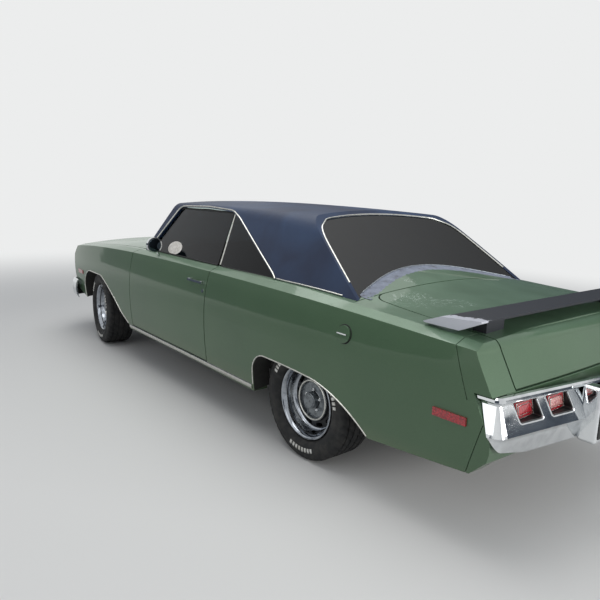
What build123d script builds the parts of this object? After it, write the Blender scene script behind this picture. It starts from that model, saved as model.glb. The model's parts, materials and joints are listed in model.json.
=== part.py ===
from build123d import *
import os
from math import asin, atan2, cos, degrees, radians, sin, sqrt

# Two-door hardtop car of the early nineteen seventies, in millimetres.
# X points forward, Y to the car's left and Z up. The origin is on the ground at mid length.

# Overall sizes
wheelbase = 2819
front_overhang = 854
rear_overhang = 1310
body_width = 1768
roof_height = 1341
belt_height = 932

# Wheels and tracks
front_tyre_from_side = 36.5
rear_track = 1412
tyre_radius = 320
tyre_width = 235
tyre_bead_radius = 197
rim_width = 190
rim_barrel = 16
trim_ring_radius = 205
hub_bore_radius = 30
parked_steer = -8
kingpin_inset = 90

# Gaps and clearances
panel_gap = 7
seat_gap = 0.3
pin_gap = 0.3

# Sheet and panel thicknesses
skin = 14
lid_skin = 24
door_depth = 125
floor_skin = 16
glass_thickness = 6

# Body openings, measured from the axles
door_front_from_axle = -729
door_rear_from_axle = 937
door_bottom = 318
hood_rear_from_axle = -584
hood_front_from_axle = 700
hood_inside_door = 17
lid_front_from_axle = -300
lid_front_from_side = 244
lid_rear_from_side = 178
lid_bottom = 713
lid_pivot_from_axle = -95
lid_pivot_height = 938

# Greenhouse
pillar_wall = 30
roof_skin = 28
tumblehome = 0.478
greenhouse_from_side = 99
windshield_corner_from_axle = -809
windshield_rake = 0.65
windshield_bow = 140
backlight_corner_from_axle = -196
backlight_corner_z = 991
backlight_slope = 1.342
backlight_bow = 84
backlight_half = 697

half_width = body_width / 2
front_track = 2 * (half_width - front_tyre_from_side) - tyre_width
outside = half_width + 116
hood_half_width = half_width - door_depth - hood_inside_door
lid_half_front = half_width - lid_front_from_side
lid_half_rear = half_width - lid_rear_from_side
greenhouse_half = half_width - greenhouse_from_side
overall_length = front_overhang + wheelbase + rear_overhang
rear_axle_x = -overall_length / 2 + rear_overhang
front_axle_x = rear_axle_x + wheelbase
hub_z = tyre_radius


def fx(distance):
    """A place along the car measured forward from the front axle."""
    return front_axle_x + distance


def rx(distance):
    """A place along the car measured forward from the rear axle."""
    return rear_axle_x + distance


def box_between(low, high):
    size = [b - a for a, b in zip(low, high)]
    middle = [(a + b) / 2 for a, b in zip(low, high)]
    return Pos(*middle) * Box(*size)


def side_prism(points, y_low, y_high):
    """A side-view outline (x, z) carried from y_low to y_high."""
    wire = Polyline(*[(x, y_low, z) for x, z in points], close=True)
    return extrude(make_face(wire), amount=y_high - y_low, dir=(0, 1, 0))


def plan_prism(points, z_low, z_high):
    """A plan outline (x, y) carried from z_low to z_high."""
    wire = Polyline(*[(x, y, z_low) for x, y in points], close=True)
    return extrude(make_face(wire), amount=z_high - z_low, dir=(0, 0, 1))


def pair(piece):
    """A piece and its mirror image on the other side of the car."""
    return [piece, mirror(piece, about=Plane.XZ)]


def rod(start, end, radius):
    """A round bar between two points."""
    way = Vector(*end) - Vector(*start)
    return extrude(Plane(origin=start, z_dir=way) * Circle(radius), amount=way.length)


# Body sections: place, bottom (in, z), widest (in, z), shoulder (in, z), belt (in, z), crown z
# Each "in" is the distance inboard from half the body's width.
body_sections = [
    (fx(950), 112, 400, 92, 640, 108, 770, 170, 782, 800),
    (fx(500), 60, 380, 40, 640, 62, 835, 134, 848, 884),
    (fx(0), 40, 300, 14, 640, 42, 874, 116, 890, 930),
    (fx(-800), 32, 274, 0, 640, 36, 904, 98, 928, 970),
    (rx(937), 32, 274, 0, 640, 40, 908, 98, 932, 1000),
    (rx(0), 30, 280, 2, 650, 38, 900, 100, 931, 1030),
    (rx(-420), 32, 308, 8, 650, 38, 890, 105, 912, 950),
    (rx(-700), 36, 333, 16, 648, 40, 880, 107, 900, 925),
    (rx(-1000), 42, 362, 28, 644, 43, 868, 109, 886, 903),
    (rx(-1260), 52, 392, 42, 640, 50, 850, 112, 866, 884),
]


def tangent_arc(outer, end):
    """An arc from the widest point, where it is upright, to a point above or below it."""
    (wide_y, wide_z), (end_y, end_z) = outer, end
    rise, run = end_z - wide_z, wide_y - end_y
    radius = (rise**2 + run**2) / (2 * run)
    half = atan2(abs(rise), radius - run) / 2
    middle_y = wide_y - radius * (1 - cos(half))
    middle_z = wide_z + radius * sin(half) * (1 if rise > 0 else -1)
    return middle_y, middle_z


def body_section(row, inset=0, drop=0):
    """A closed section of the body at one place along its length."""
    x, bottom_in, bottom_z, wide_in, wide_z, shoulder_in, shoulder_z, belt_in, belt_z, crown_z = row
    bottom = (half_width - bottom_in - inset, bottom_z - drop)
    wide = (half_width - wide_in - inset, wide_z)
    shoulder = (half_width - shoulder_in - inset, shoulder_z - inset)
    belt = (half_width - belt_in - inset / 2, belt_z - inset)
    low = tangent_arc(wide, bottom)
    high = tangent_arc(wide, shoulder)
    edges = [Line((x, -bottom[0], bottom[1]), (x, bottom[0], bottom[1]))]
    for a, b, c in ((bottom, low, wide), (wide, high, shoulder)):
        edges.append(ThreePointArc(*[(x, y, z) for y, z in (a, b, c)]))
    edges.append(Line((x, *shoulder), (x, *belt)))
    edges.append(ThreePointArc((x, *belt), (x, 0, crown_z - inset), (x, -belt[0], belt[1])))
    edges.append(Line((x, -belt[0], belt[1]), (x, -shoulder[0], shoulder[1])))
    for a, b, c in ((shoulder, high, wide), (wide, low, bottom)):
        edges.append(ThreePointArc(*[(x, -y, z) for y, z in (a, b, c)]))
    return Wire(edges)


def body_loft(inset=0, drop=0):
    return Solid.make_loft([body_section(row, inset, drop) for row in body_sections])


# The body's ends in side view: nose and tail points (from their axle, z)
nose_points = [(640, 240), (690, 480), (712, 520), (728, 600), (745, 734), (690, 800), (560, 960)]
tail_top = [(-900, 1100), (-992, 896)]
tail_round = (-1024, 882)
tail_points = [(-1046, 852), (-1118, 729), (-1134, 704), (-1140, 480), (-1130, 440), (-1052, 362)]
nose_bow = 62
tail_bow = 40
bow_reach = outside


def end_outline(y):
    """Nose and tail in side view, bowed out towards the middle of the car."""
    share = 1 - (y / bow_reach) ** 2
    nose = [(fx(x) + nose_bow * share - nose_bow / 2, z) for x, z in nose_points]
    top, (rounding,), tail = [
        [(rx(x) - tail_bow * share + tail_bow / 3, y, z) for x, z in points]
        for points in (tail_top, [tail_round], tail_points)
    ]
    nose = [(x, y, z) for x, z in nose]
    under = [(rx(-1000), y, 200), (fx(500), y, 200), nose[0]]
    over = [(fx(300), y, 1150), (rx(-700), y, 1150)]
    edges = Polyline(*nose, *over, *top).edges() + Polyline(*tail, *under).edges()
    edges.append(ThreePointArc(top[-1], rounding, tail[0]))
    return Wire(edges)


ends = Solid.make_loft([end_outline(y) for y in (-bow_reach, 0, bow_reach)])
body = body_loft() & ends
body_inner = body_loft(skin, 100)
outer_skin = body - body_inner
top_and_tail = body - Pos(lid_skin, 0, -lid_skin) * body
top_and_nose = body - Pos(-lid_skin, 0, -lid_skin) * body

# Wheel openings in side view
front_opening_z = 628
rear_opening_z = 511


def front_opening(y_low, y_high):
    """The front wheel opening, with its long slope to the sill."""
    a, b, c = (fx(372), 200), (fx(376), 420), (fx(200), front_opening_z)
    d, e, f = (fx(-90), front_opening_z), (fx(-509), 380), (fx(-655), 300)
    edges = [
        Line(a, b),
        ThreePointArc(b, (fx(330), 570), c),
        Line(c, d),
        ThreePointArc(d, (fx(-326), 512), e),
        Line(e, f),
        Line(f, (fx(-700), 200)),
        Line((fx(-700), 200), a),
    ]
    outline = Plane.XZ * make_face(edges)
    return Pos(0, y_high, 0) * extrude(outline, amount=y_high - y_low)


def rear_opening(y_low, y_high):
    """The low rear wheel opening, which covers the top of the tyre."""
    a, b, c = (rx(402), 200), (rx(394), 400), (rx(260), rear_opening_z)
    d, e = (rx(-130), 498), (rx(-530), 300)
    edges = [
        Line(a, b),
        ThreePointArc(b, (rx(358), 482), c),
        ThreePointArc(c, (rx(60), 508), d),
        ThreePointArc(d, (rx(-345), 430), e),
        Line(e, (rx(-590), 200)),
        Line((rx(-590), 200), a),
    ]
    outline = Plane.XZ * make_face(edges)
    return Pos(0, y_high, 0) * extrude(outline, amount=y_high - y_low)


def cross_cylinder(x, z, radius, y_low, y_high):
    """A cylinder lying across the car."""
    return Pos(x, (y_low + y_high) / 2, z) * Rot(90, 0, 0) * Cylinder(radius, y_high - y_low)


inner_wall = half_width - door_depth
door_front = fx(door_front_from_axle)
door_rear = rx(door_rear_from_axle)
hood_rear = fx(hood_rear_from_axle)
hood_front = fx(hood_front_from_axle)
lid_front = rx(lid_front_from_axle)
nose_x = fx(front_overhang)
tail_x = rx(-rear_overhang)
rear_arch_radius = tyre_radius + 48
rear_arch_inner = rear_track / 2 - tyre_width / 2 - 30
rear_arch_outer = half_width - 34
arch_cut_inner = 500


# Front fender: a skin with an open inner side and an open bottom
fender_rear = door_front + panel_gap
fender_region = box_between((fender_rear, hood_half_width + panel_gap, 0), (nose_x, outside, 1100))
left_fender = outer_skin & fender_region
left_fender += top_and_nose & fender_region & box_between((fx(600), 0, 500), (nose_x, outside, 1100))
left_fender -= front_opening(arch_cut_inner, outside)

# Door: the whole door, from the outer skin to the inner trim
door_region = box_between((door_rear, inner_wall, door_bottom), (door_front, outside, 1100))
left_door = body & door_region

# Sill under the door, with the fender's and the quarter's lower ends
sill_front = fender_rear - seat_gap
sill_rear = rx(410)
sill_region = box_between((sill_rear, inner_wall, 0), (sill_front, outside, door_bottom - panel_gap))
left_sill = body & sill_region

# Lid outline in plan: straight sides that widen to the rear, with round front corners
lid_corner = 90


def lid_outline(grow, z_low, z_high):
    side = [(tail_x - 50, -lid_half_rear - grow), (tail_x - 50, lid_half_rear + grow)]
    front = [(lid_front + grow, lid_half_front + grow), (lid_front + grow, -lid_half_front - grow)]
    prism = plan_prism(side + front, z_low, z_high)
    corners = prism.edges().filter_by(Axis.Z).sort_by(Axis.X)[-2:]
    return fillet(corners, lid_corner + grow)


deck_lid = top_and_tail & lid_outline(0, lid_bottom, 1100)

# Quarter panel: a thick wall beside the seat and the boot, with the arch and the deck strip
quarter_front = door_rear - panel_gap
quarter_region = box_between((tail_x, inner_wall, 0), (quarter_front, outside, 1100))
quarter_region -= box_between((sill_rear, 0, 0), (quarter_front, outside, door_bottom - panel_gap + seat_gap))
left_quarter = body & quarter_region
strip_inner = 300
strip_region = box_between((tail_x, strip_inner, lid_bottom - panel_gap), (lid_front, inner_wall + 1, 1100))
left_quarter += (top_and_tail & strip_region) - lid_outline(panel_gap, 400, 1200)
left_quarter -= rear_opening(arch_cut_inner, outside)
bumper_end_high, bumper_end_low = (rx(-1052), 706), (rx(-1178), 446)


def bumper_room(shift):
    """The space at the quarter's rear that the bumper's end fills, set back by shift."""
    (x_high, z_high), (x_low, z_low) = bumper_end_high, bumper_end_low
    points = [(x_high - shift, z_high), (x_low - shift, z_low), (tail_x - 200, z_low), (tail_x - 200, z_high)]
    return side_prism(points, -outside, outside)


left_quarter -= bumper_room(0)
left_quarter -= cross_cylinder(rear_axle_x, hub_z, rear_arch_radius, rear_arch_inner, rear_arch_outer)

# Cast extension above the bumper's end and the small valance below it, each with its seam
cap_line = ((rx(-910), 960), (rx(-1029), 668))
valance_line = ((rx(-1105), 589), (rx(-1036), 345))
seam_width = 3


def rear_of(line, shift):
    """What lies behind a slanting seam, moved forward by shift."""
    (x_high, z_high), (x_low, z_low) = line
    points = [(x_high + shift, z_high), (x_low + shift, z_low), (tail_x - 200, z_low), (tail_x - 200, z_high)]
    return side_prism(points, strip_inner - 50, outside)


left_caps = [left_quarter & rear_of(line, 0) for line in (cap_line, valance_line)]
for line in (cap_line, valance_line):
    left_quarter -= rear_of(line, seat_gap)
    left_quarter -= rear_of(line, seam_width) & outer_skin

# Hood and cowl
hood_region = box_between((hood_rear, -hood_half_width, 300), (hood_front, hood_half_width, 1100))
hood = (body - Pos(0, 0, -lid_skin) * body) & hood_region
cowl_rear = fx(-850)
cowl_region = box_between((cowl_rear, -hood_half_width, 300), (hood_rear - panel_gap, hood_half_width, 1100))
cowl_panel = (body - Pos(0, 0, -lid_skin) * body) & cowl_region
firewall_x = fx(-592)
cowl_under = 872
plenum_rear = fx(-742)
cowl_panel += body & box_between(
    (plenum_rear, -hood_half_width + 20, cowl_under + seat_gap),
    (hood_rear - panel_gap, hood_half_width - 20, 1100),
)

# Nose: the front face between the fenders, with the grille opening
nose_half = hood_half_width + panel_gap - seat_gap
nose_bottom = 505
grille_low, grille_high = 530, 745
grille_half = hood_half_width - 52
nose_region = box_between((fx(560), -nose_half, nose_bottom), (nose_x, nose_half, 1100))
nose_region -= box_between((0, -2000, 700), (hood_front + panel_gap, 2000, 1200))
nose_panel = (top_and_nose & nose_region) - box_between(
    (0, -grille_half, grille_low), (3000, grille_half, grille_high)
)

# Rear deck panel between the glass and the lid, with the parcel shelf below
deck_region = box_between(
    (lid_front - 200, -inner_wall + seat_gap, 300), (rx(-20), inner_wall - seat_gap, 1200)
)
deck_region -= lid_outline(panel_gap, 200, 1300)
deck_region -= box_between((tail_x - 100, -2000, 0), (lid_front + panel_gap, 2000, 1300))
rear_deck_panel = (body - Pos(0, 0, -lid_skin) * body) & deck_region
shelf_z = 862
shelf_front = rx(300)

# Lid hinges under the deck panel: a bracket with its pin, and a neck that goes round the panel's edge
lid_pivot_x, lid_pivot_z = rx(lid_pivot_from_axle), lid_pivot_height
neck_y, neck_width, neck_half = 500, 16, 8
neck_radius = 230
neck_steep, neck_flat = radians(78), radians(10)
lid_pin_radius, lid_eye_radius = 6, 10
cheek = 4


def from_pivot(angle, distance):
    """A point of the side view at an angle below the way to the tail."""
    return lid_pivot_x - distance * cos(angle), lid_pivot_z - distance * sin(angle)


neck_low, neck_high = neck_y - neck_width / 2, neck_y + neck_width / 2
neck = cross_cylinder(lid_pivot_x, lid_pivot_z, neck_radius + neck_half, neck_low, neck_high)
neck -= cross_cylinder(lid_pivot_x, lid_pivot_z, neck_radius - neck_half, neck_low - 1, neck_high + 1)
beyond_neck = from_pivot((neck_steep + neck_flat) / 2, neck_radius * 2)
sector = [(lid_pivot_x, lid_pivot_z), from_pivot(neck_steep, neck_radius + 40), beyond_neck]
neck &= side_prism(sector + [from_pivot(neck_flat, neck_radius + 40)], neck_low, neck_high)
foot = from_pivot(neck_steep, neck_radius + neck_half - 1)
across_x, across_z = neck_half * sin(neck_steep), neck_half * cos(neck_steep)
stem = [(lid_pivot_x - across_x, lid_pivot_z + across_z), (lid_pivot_x + across_x, lid_pivot_z - across_z)]
stem += [(foot[0] + across_x, foot[1] - across_z), (foot[0] - across_x, foot[1] + across_z)]
neck += side_prism(stem, neck_low, neck_high)
neck += cross_cylinder(lid_pivot_x, lid_pivot_z, lid_eye_radius, neck_low, neck_high)
neck_end_x, neck_end_z = from_pivot(neck_flat, neck_radius)
riser = box_between((neck_end_x - 9, neck_low, neck_end_z - 6), (neck_end_x + 9, neck_high, 1000))
neck += riser & (Pos(lid_skin, 0, -lid_skin - seat_gap) * body)
neck -= cross_cylinder(lid_pivot_x, lid_pivot_z, lid_pin_radius + pin_gap, neck_low - 1, neck_high + 1)

bracket_low, bracket_high = neck_low - 1 - cheek, neck_high + 1 + cheek
bracket_room = box_between(
    (lid_pivot_x - 14, bracket_low, lid_pivot_z - 12), (lid_pivot_x + 14, bracket_high, 1100)
)
bracket_room -= box_between((lid_pivot_x - 15, neck_low - 1, 0), (lid_pivot_x + 15, neck_high + 1, 1100))
lid_bracket = bracket_room & (Pos(0, 0, -lid_skin - seat_gap) * body)
lid_bracket += cross_cylinder(lid_pivot_x, lid_pivot_z, lid_pin_radius, bracket_low, bracket_high)
shelf = box_between(
    (rx(-250), -inner_wall + seat_gap, shelf_z), (shelf_front, inner_wall - seat_gap, shelf_z + 14)
)
neck_well = box_between((rx(-260), neck_low - 8, 800), (lid_pivot_x + 24, neck_high + 8, 900))
for well in pair(neck_well):
    shelf -= well

# Tail panel behind the bumper, below the lid
tail_high = lid_bottom - panel_gap - seat_gap
tail_region = box_between(
    (tail_x, -inner_wall + seat_gap, 400), (rx(-1000), inner_wall - seat_gap, tail_high)
)
tail_panel = top_and_tail & tail_region

# Greenhouse sections: place, side in at the base, edge z, crown z, reach of the round edge
drip_z = roof_height - 35
greenhouse_sections = [
    (fx(-640), 0, drip_z - 22, roof_height - 34, 34),
    (fx(-1150), 0, drip_z - 2, roof_height - 8, 40),
    (rx(950), 0, drip_z + 1, roof_height, 48),
    (rx(300), 4, drip_z - 6, roof_height - 11, 84),
    (rx(-420), 58, drip_z - 40, roof_height - 46, 84),
]
greenhouse_base_z = 870


def greenhouse_section(row, inset, top_inset):
    """A section whose leaning sides roll over into the crowned roof."""
    x, side_in, edge_z, crown_z, reach = row

    def side_y(z):
        return greenhouse_half - side_in - inset - tumblehome * (z - belt_height)

    base_z, edge_z, crown_z = greenhouse_base_z - 2 * inset, edge_z - top_inset, crown_z - top_inset
    base_y, edge_y = side_y(base_z), side_y(edge_z)
    crown_radius = (edge_y**2 + (crown_z - edge_z) ** 2) / (2 * (crown_z - edge_z))
    crown_y = edge_y - reach
    crown_side_z = crown_z - crown_radius + sqrt(crown_radius**2 - crown_y**2)
    lean = atan2(tumblehome, 1)
    low_y, low_z = edge_y + reach * sin(lean), edge_z - reach * cos(lean)
    chord_y, chord_z = (low_y + crown_y) / 2, (low_z + crown_side_z) / 2
    half_corner = asin(sqrt((crown_y - low_y) ** 2 + (crown_side_z - low_z) ** 2) / (2 * reach))
    share = 1 / (1 + sin(half_corner))
    round_y, round_z = edge_y + (chord_y - edge_y) * share, edge_z + (chord_z - edge_z) * share
    edges = [
        Line((x, -base_y, base_z), (x, base_y, base_z)),
        Line((x, base_y, base_z), (x, low_y, low_z)),
        ThreePointArc((x, low_y, low_z), (x, round_y, round_z), (x, crown_y, crown_side_z)),
        ThreePointArc((x, crown_y, crown_side_z), (x, 0, crown_z), (x, -crown_y, crown_side_z)),
        ThreePointArc((x, -crown_y, crown_side_z), (x, -round_y, round_z), (x, -low_y, low_z)),
        Line((x, -low_y, low_z), (x, -base_y, base_z)),
    ]
    return Wire(edges)


def greenhouse(inset=0, top_inset=0):
    return Solid.make_loft([greenhouse_section(row, inset, top_inset) for row in greenhouse_sections])


def slanted_cylinder(x_corner, x_middle, half, z, reach, dir_x, back):
    """A bowed face carried along a slope: what lies behind a curved pane."""
    far = x_corner + back
    edges = [
        ThreePointArc((x_corner, -half, z), (x_middle, 0, z), (x_corner, half, z)),
        Line((x_corner, half, z), (far, half, z)),
        Line((far, half, z), (far, -half, z)),
        Line((far, -half, z), (x_corner, -half, z)),
    ]
    return extrude(make_face(edges), amount=reach, dir=(dir_x, 0, 1))


pane_base_z = 800
pane_reach = 900


def behind_windshield(shift=0):
    rise = pane_base_z - belt_height
    corner = fx(windshield_corner_from_axle) - windshield_rake * rise - shift
    return slanted_cylinder(
        corner,
        corner + windshield_bow,
        greenhouse_half - 10,
        pane_base_z,
        pane_reach,
        -windshield_rake,
        -4000,
    )


def ahead_of_backlight(shift=0):
    rise = pane_base_z - backlight_corner_z
    corner = rx(backlight_corner_from_axle) + backlight_slope * rise + shift
    half = greenhouse_half + 5
    bow = backlight_bow * (half / backlight_half) ** 2
    corner -= bow - backlight_bow
    return slanted_cylinder(corner, corner + bow, half, pane_base_z, pane_reach, backlight_slope, 4000)


cabin_shape = greenhouse() & behind_windshield() & ahead_of_backlight()
lifted_body = Pos(0, 0, seat_gap) * body


def windshield_line(z):
    """Where the pillar's front edge lies at a height."""
    return fx(windshield_corner_from_axle) - windshield_rake * (z - belt_height)


# Side window opening, with the sail's front edge at its rear
window_top = drip_z - 18
window_points = [
    (windshield_line(belt_height - 40) - 62, belt_height - 40),
    (windshield_line(window_top - 12) - 62, window_top - 12),
    (rx(1359), window_top + 2),
    (rx(1020), window_top - 8),
    (rx(925), window_top - 42),
    (rx(352), belt_height + 20),
    (rx(310), belt_height - 40),
]
roof = cabin_shape - greenhouse(pillar_wall, roof_skin) - side_prism(window_points, -outside, outside)
roof -= lifted_body
roof = max(roof.solids(), key=lambda solid: solid.volume)

# Panes in the ends of the roof
pane_room = greenhouse(pillar_wall + 1, roof_skin + 1)
windshield = pane_room & (behind_windshield(4) - behind_windshield(4 + glass_thickness * 1.3))
windshield = (windshield - lifted_body) & box_between((fx(-1300), -outside, 900), (fx(-500), outside, 1400))
backlight = pane_room & (ahead_of_backlight(4) - ahead_of_backlight(4 + glass_thickness * 1.8))
backlight = (backlight - lifted_body) & box_between((rx(-400), -outside, 900), (rx(600), outside, 1400))


# Side glass: flat panes that lean in with the greenhouse
def side_pane(points, thickness=glass_thickness):
    lean = degrees(atan2(tumblehome, 1))
    slab = side_prism(points, -thickness / 2, thickness / 2)
    tilted = Pos(0, 0, belt_height) * Rot(lean, 0, 0) * Pos(0, 0, -belt_height) * slab
    return Pos(0, greenhouse_half - 20, 0) * tilted


stretch = sqrt(1 + tumblehome**2)


def on_pane(x, z):
    """A point of the window opening, laid into the leaning pane."""
    return x, belt_height + (z - belt_height) * stretch


strip_top_x, strip_low_x = rx(1016), rx(958)
door_glass_points = [
    on_pane(windshield_line(belt_height - 8) - 70, belt_height - 8),
    on_pane(windshield_line(window_top - 20) - 70, window_top - 20),
    on_pane(rx(1359), window_top - 6),
    on_pane(strip_top_x + 8, window_top - 14),
    on_pane(strip_low_x + 4, belt_height - 8),
]
pane_bottom = belt_height - 10
quarter_glass_points = [
    on_pane(quarter_front - 5, pane_bottom),
    on_pane(quarter_front - 5, belt_height + 12),
    on_pane(strip_low_x - 10, belt_height + 12),
    on_pane(strip_top_x - 2, window_top - 14),
    on_pane(rx(928), window_top - 50),
    on_pane(rx(368), belt_height + 18),
    on_pane(rx(342), pane_bottom),
]
left_door_glass = side_pane(door_glass_points)
left_quarter_glass = side_pane(quarter_glass_points)


def pane_slot(x_rear, x_front, z):
    """The slot in a panel's top edge that a pane stands in, open upwards."""
    low = on_pane(x_rear, z)[1] - seat_gap
    slot_rear, slot_front = x_rear - seat_gap, x_front + seat_gap
    points = [(slot_rear, low), (slot_front, low), (slot_front, 1200), (slot_rear, 1200)]
    return side_pane(points, glass_thickness + 2 * seat_gap)


left_door -= pane_slot(door_glass_points[-1][0], door_glass_points[0][0], belt_height - 8)
left_quarter -= pane_slot(rx(342), quarter_front + 50, pane_bottom)

# Floor: toe board, flat floor, rise over the axle and boot floor
floor_z = 262
boot_z = 478
tunnel_radius = 190
tunnel_z = 290
floor_half = inner_wall - seat_gap
floor_line = [
    (firewall_x, 640),
    (fx(-740), floor_z),
    (rx(720), floor_z),
    (rx(480), 540),
    (rx(-380), 560),
    (rx(-470), boot_z),
    (rx(-1085), boot_z),
]
floor_upper = [(x, z + floor_skin) for x, z in reversed(floor_line)]
floor_pan = side_prism(floor_line + floor_upper, -floor_half, floor_half)
floor_pan += box_between(
    (firewall_x - floor_skin, -floor_half + 20, 640), (firewall_x, floor_half - 20, cowl_under)
)
tunnel_front, tunnel_rear = firewall_x, rx(460)
tunnel_length = tunnel_front - tunnel_rear
tunnel = Pos(
    (tunnel_front + tunnel_rear) / 2, 0, tunnel_z
) * Rot(0, 90, 0) * Cylinder(tunnel_radius, tunnel_length)
tunnel_core = Pos((tunnel_front + tunnel_rear) / 2, 0, tunnel_z) * Rot(0, 90, 0) * Cylinder(
    tunnel_radius - floor_skin, tunnel_length + 200
)
tunnel &= box_between((tunnel_rear, -500, floor_z), (tunnel_front, 500, 600))
tunnel_core_half = tunnel_radius - floor_skin
tunnel_core += box_between(
    (tunnel_rear - 100, -tunnel_core_half, 0), (tunnel_front + 100, tunnel_core_half, tunnel_z)
)
floor_pan = floor_pan + tunnel - tunnel_core
arch_tub = cross_cylinder(rear_axle_x, hub_z, rear_arch_radius, rear_arch_inner, outside)
arch_shell = cross_cylinder(
    rear_axle_x, hub_z, rear_arch_radius + skin, rear_arch_inner - skin, inner_wall - seat_gap
)
arch_shell = (arch_shell - arch_tub) & box_between((rx(-500), 0, 420), (rx(500), outside, 1000))
arch_room = cross_cylinder(
    rear_axle_x, hub_z, rear_arch_radius + skin + seat_gap, rear_arch_inner - skin - seat_gap, outside
)
for room in pair(arch_room):
    floor_pan -= room
floor_joint = rx(470)
boot_floor = floor_pan & box_between((tail_x, -outside, 0), (floor_joint, outside, 1000))
floor_pan &= box_between((floor_joint + seat_gap, -outside, 0), (nose_x, outside, 1000))

post_low = (fx(-722), floor_half - 60, floor_z)
for post in pair(box_between(post_low, (firewall_x, floor_half, cowl_under))):
    floor_pan += post

# Rails and inner fenders of the front end
rail_y, rail_width = 400, 70
rail_z, rail_height = 370, 110
rail_front = fx(640)
left_rail = box_between(
    (firewall_x + seat_gap, rail_y - rail_width / 2, rail_z),
    (rail_front, rail_y + rail_width / 2, rail_z + rail_height),
)
apron_y = rail_y + rail_width / 2
left_apron = box_between((firewall_x + seat_gap, apron_y - skin, rail_z), (fx(560), apron_y, 760))
apron_flange = box_between(
    (firewall_x + seat_gap, apron_y - skin, 760 - skin), (fx(560), hood_half_width, 760)
)
left_rail = left_rail + left_apron + apron_flange
rear_rail_y = 474
left_rear_rail = box_between(
    (rx(-1060), rear_rail_y - 60, boot_z - 60), (rx(-470), rear_rail_y, boot_z - seat_gap)
)

# Radiator with its support across the rails
radiator_x = fx(500)
radiator_half = rail_y - rail_width / 2 - seat_gap
radiator_support = box_between((radiator_x, -radiator_half, 300), (radiator_x + 40, radiator_half, 780))
radiator_support -= box_between((radiator_x - 10, -300, 360), (radiator_x + 60, 300, 740))
radiator_support += box_between((radiator_x - 20, -300, 360), (radiator_x + 30, 300, 740))

for post in pair(Pos(radiator_x + 20, 260, 800) * Cylinder(12, 200)):
    above_support = box_between((radiator_x, -500, 780 - 1), (radiator_x + 40, 500, 1000))
    radiator_support += post & above_support & (Pos(0, 0, -lid_skin - seat_gap) * body)

# Engine and gearbox as plain blocks
engine_rear, engine_front = fx(-470), fx(380)
engine_low = 345
engine = box_between((engine_rear, -215, engine_low), (engine_front - 120, 215, 640))
engine += box_between((engine_rear + 40, -290, 480), (engine_front - 160, 290, 700))
engine += Pos((engine_rear + engine_front) / 2, 0, 740) * Cylinder(190, 100)
engine += rod((engine_front - 120, 0, 520), (engine_front, 0, 520), 60)
gearbox_end = fx(-1080)
gearbox_z = hub_z + 30
pinion_end = rx(150)
shaft_rise = (gearbox_z - hub_z - 4) / (gearbox_end - pinion_end)


def shaft_point(x):
    """A point of the line that runs from the gearbox down to the rear axle."""
    return x, 0, hub_z + 4 + shaft_rise * (x - pinion_end)


engine += rod(shaft_point(engine_rear), shaft_point(gearbox_end), 94)

# Drive shaft and rear axle
driveshaft = rod(shaft_point(gearbox_end - seat_gap), shaft_point(pinion_end), 38)
axle_tube = 38
rear_spindle_end = rear_track / 2 + 12
rear_axle = cross_cylinder(rear_axle_x, hub_z, axle_tube, -rear_track / 2 + 90, rear_track / 2 - 90)
rear_axle += Pos(rear_axle_x, 0, hub_z) * Sphere(140)
rear_axle += rod(shaft_point(rear_axle_x), shaft_point(pinion_end - seat_gap), 55)
rear_axle += cross_cylinder(
    rear_axle_x, hub_z, hub_bore_radius - pin_gap, -rear_spindle_end, rear_spindle_end
)
for side in (-1, 1):
    drum_in, drum_out = rear_track / 2 - 130, rear_track / 2 - 60
    low, high = sorted((side * drum_in, side * drum_out))
    rear_axle += cross_cylinder(rear_axle_x, hub_z, 130, low, high)

# Leaf springs under the axle
spring_y, spring_width = 500, 60
spring_front, spring_rear = 620, -720


def spring_band(thickness):
    low, high = hub_z - axle_tube - seat_gap - thickness, hub_z - axle_tube - seat_gap
    a, b = (rx(spring_front), high + 24), (rx(spring_rear), high + 40)
    edges = [
        ThreePointArc(a, (rx(0), high), b),
        Line(b, (b[0], b[1] - thickness)),
        ThreePointArc((b[0], b[1] - thickness), (rx(0), low), (a[0], a[1] - thickness)),
        Line((a[0], a[1] - thickness), a),
    ]
    return Plane.XZ * make_face(edges)


left_spring = Pos(0, spring_y + spring_width / 2, 0) * extrude(spring_band(26), amount=spring_width)
left_spring += cross_cylinder(rx(spring_front), hub_z - 32, 30, spring_y - 30, spring_y + 30)
left_spring += box_between(
    (rx(spring_rear) - 20, spring_y - 25, hub_z - 50),
    (rx(spring_rear) + 20, spring_y + 25, boot_z - seat_gap),
)

# Exhaust on the right side, with a flat muffler under the floor
pipe_radius = 26
exhaust_path = FilletPolyline(
    (fx(-330), -250, 480 - seat_gap),
    (fx(-330), -250, 215),
    (rx(640), -270, 215),
    (rx(300), -400, 250),
    (rx(120), -420, 440),
    (rx(-160), -420, 440),
    (rx(-420), -420, 330),
    (rx(-1150), -420, 300),
    radius=60,
)
exhaust = sweep(Plane(exhaust_path @ 0, z_dir=exhaust_path % 0) * Circle(pipe_radius), path=exhaust_path)
muffler = Plane(origin=(rx(760), -268, 212), x_dir=(0, 1, 0), z_dir=(1, 0, 0)) * SlotOverall(190, 90)
exhaust += extrude(muffler, amount=540)

# Fuel tank under the boot floor
fuel_tank = box_between((rx(-1000), -340, 290), (rx(-480), 340, boot_z - seat_gap))
fuel_tank = fillet(fuel_tank.edges().filter_by(Axis.Y), 40)

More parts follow.
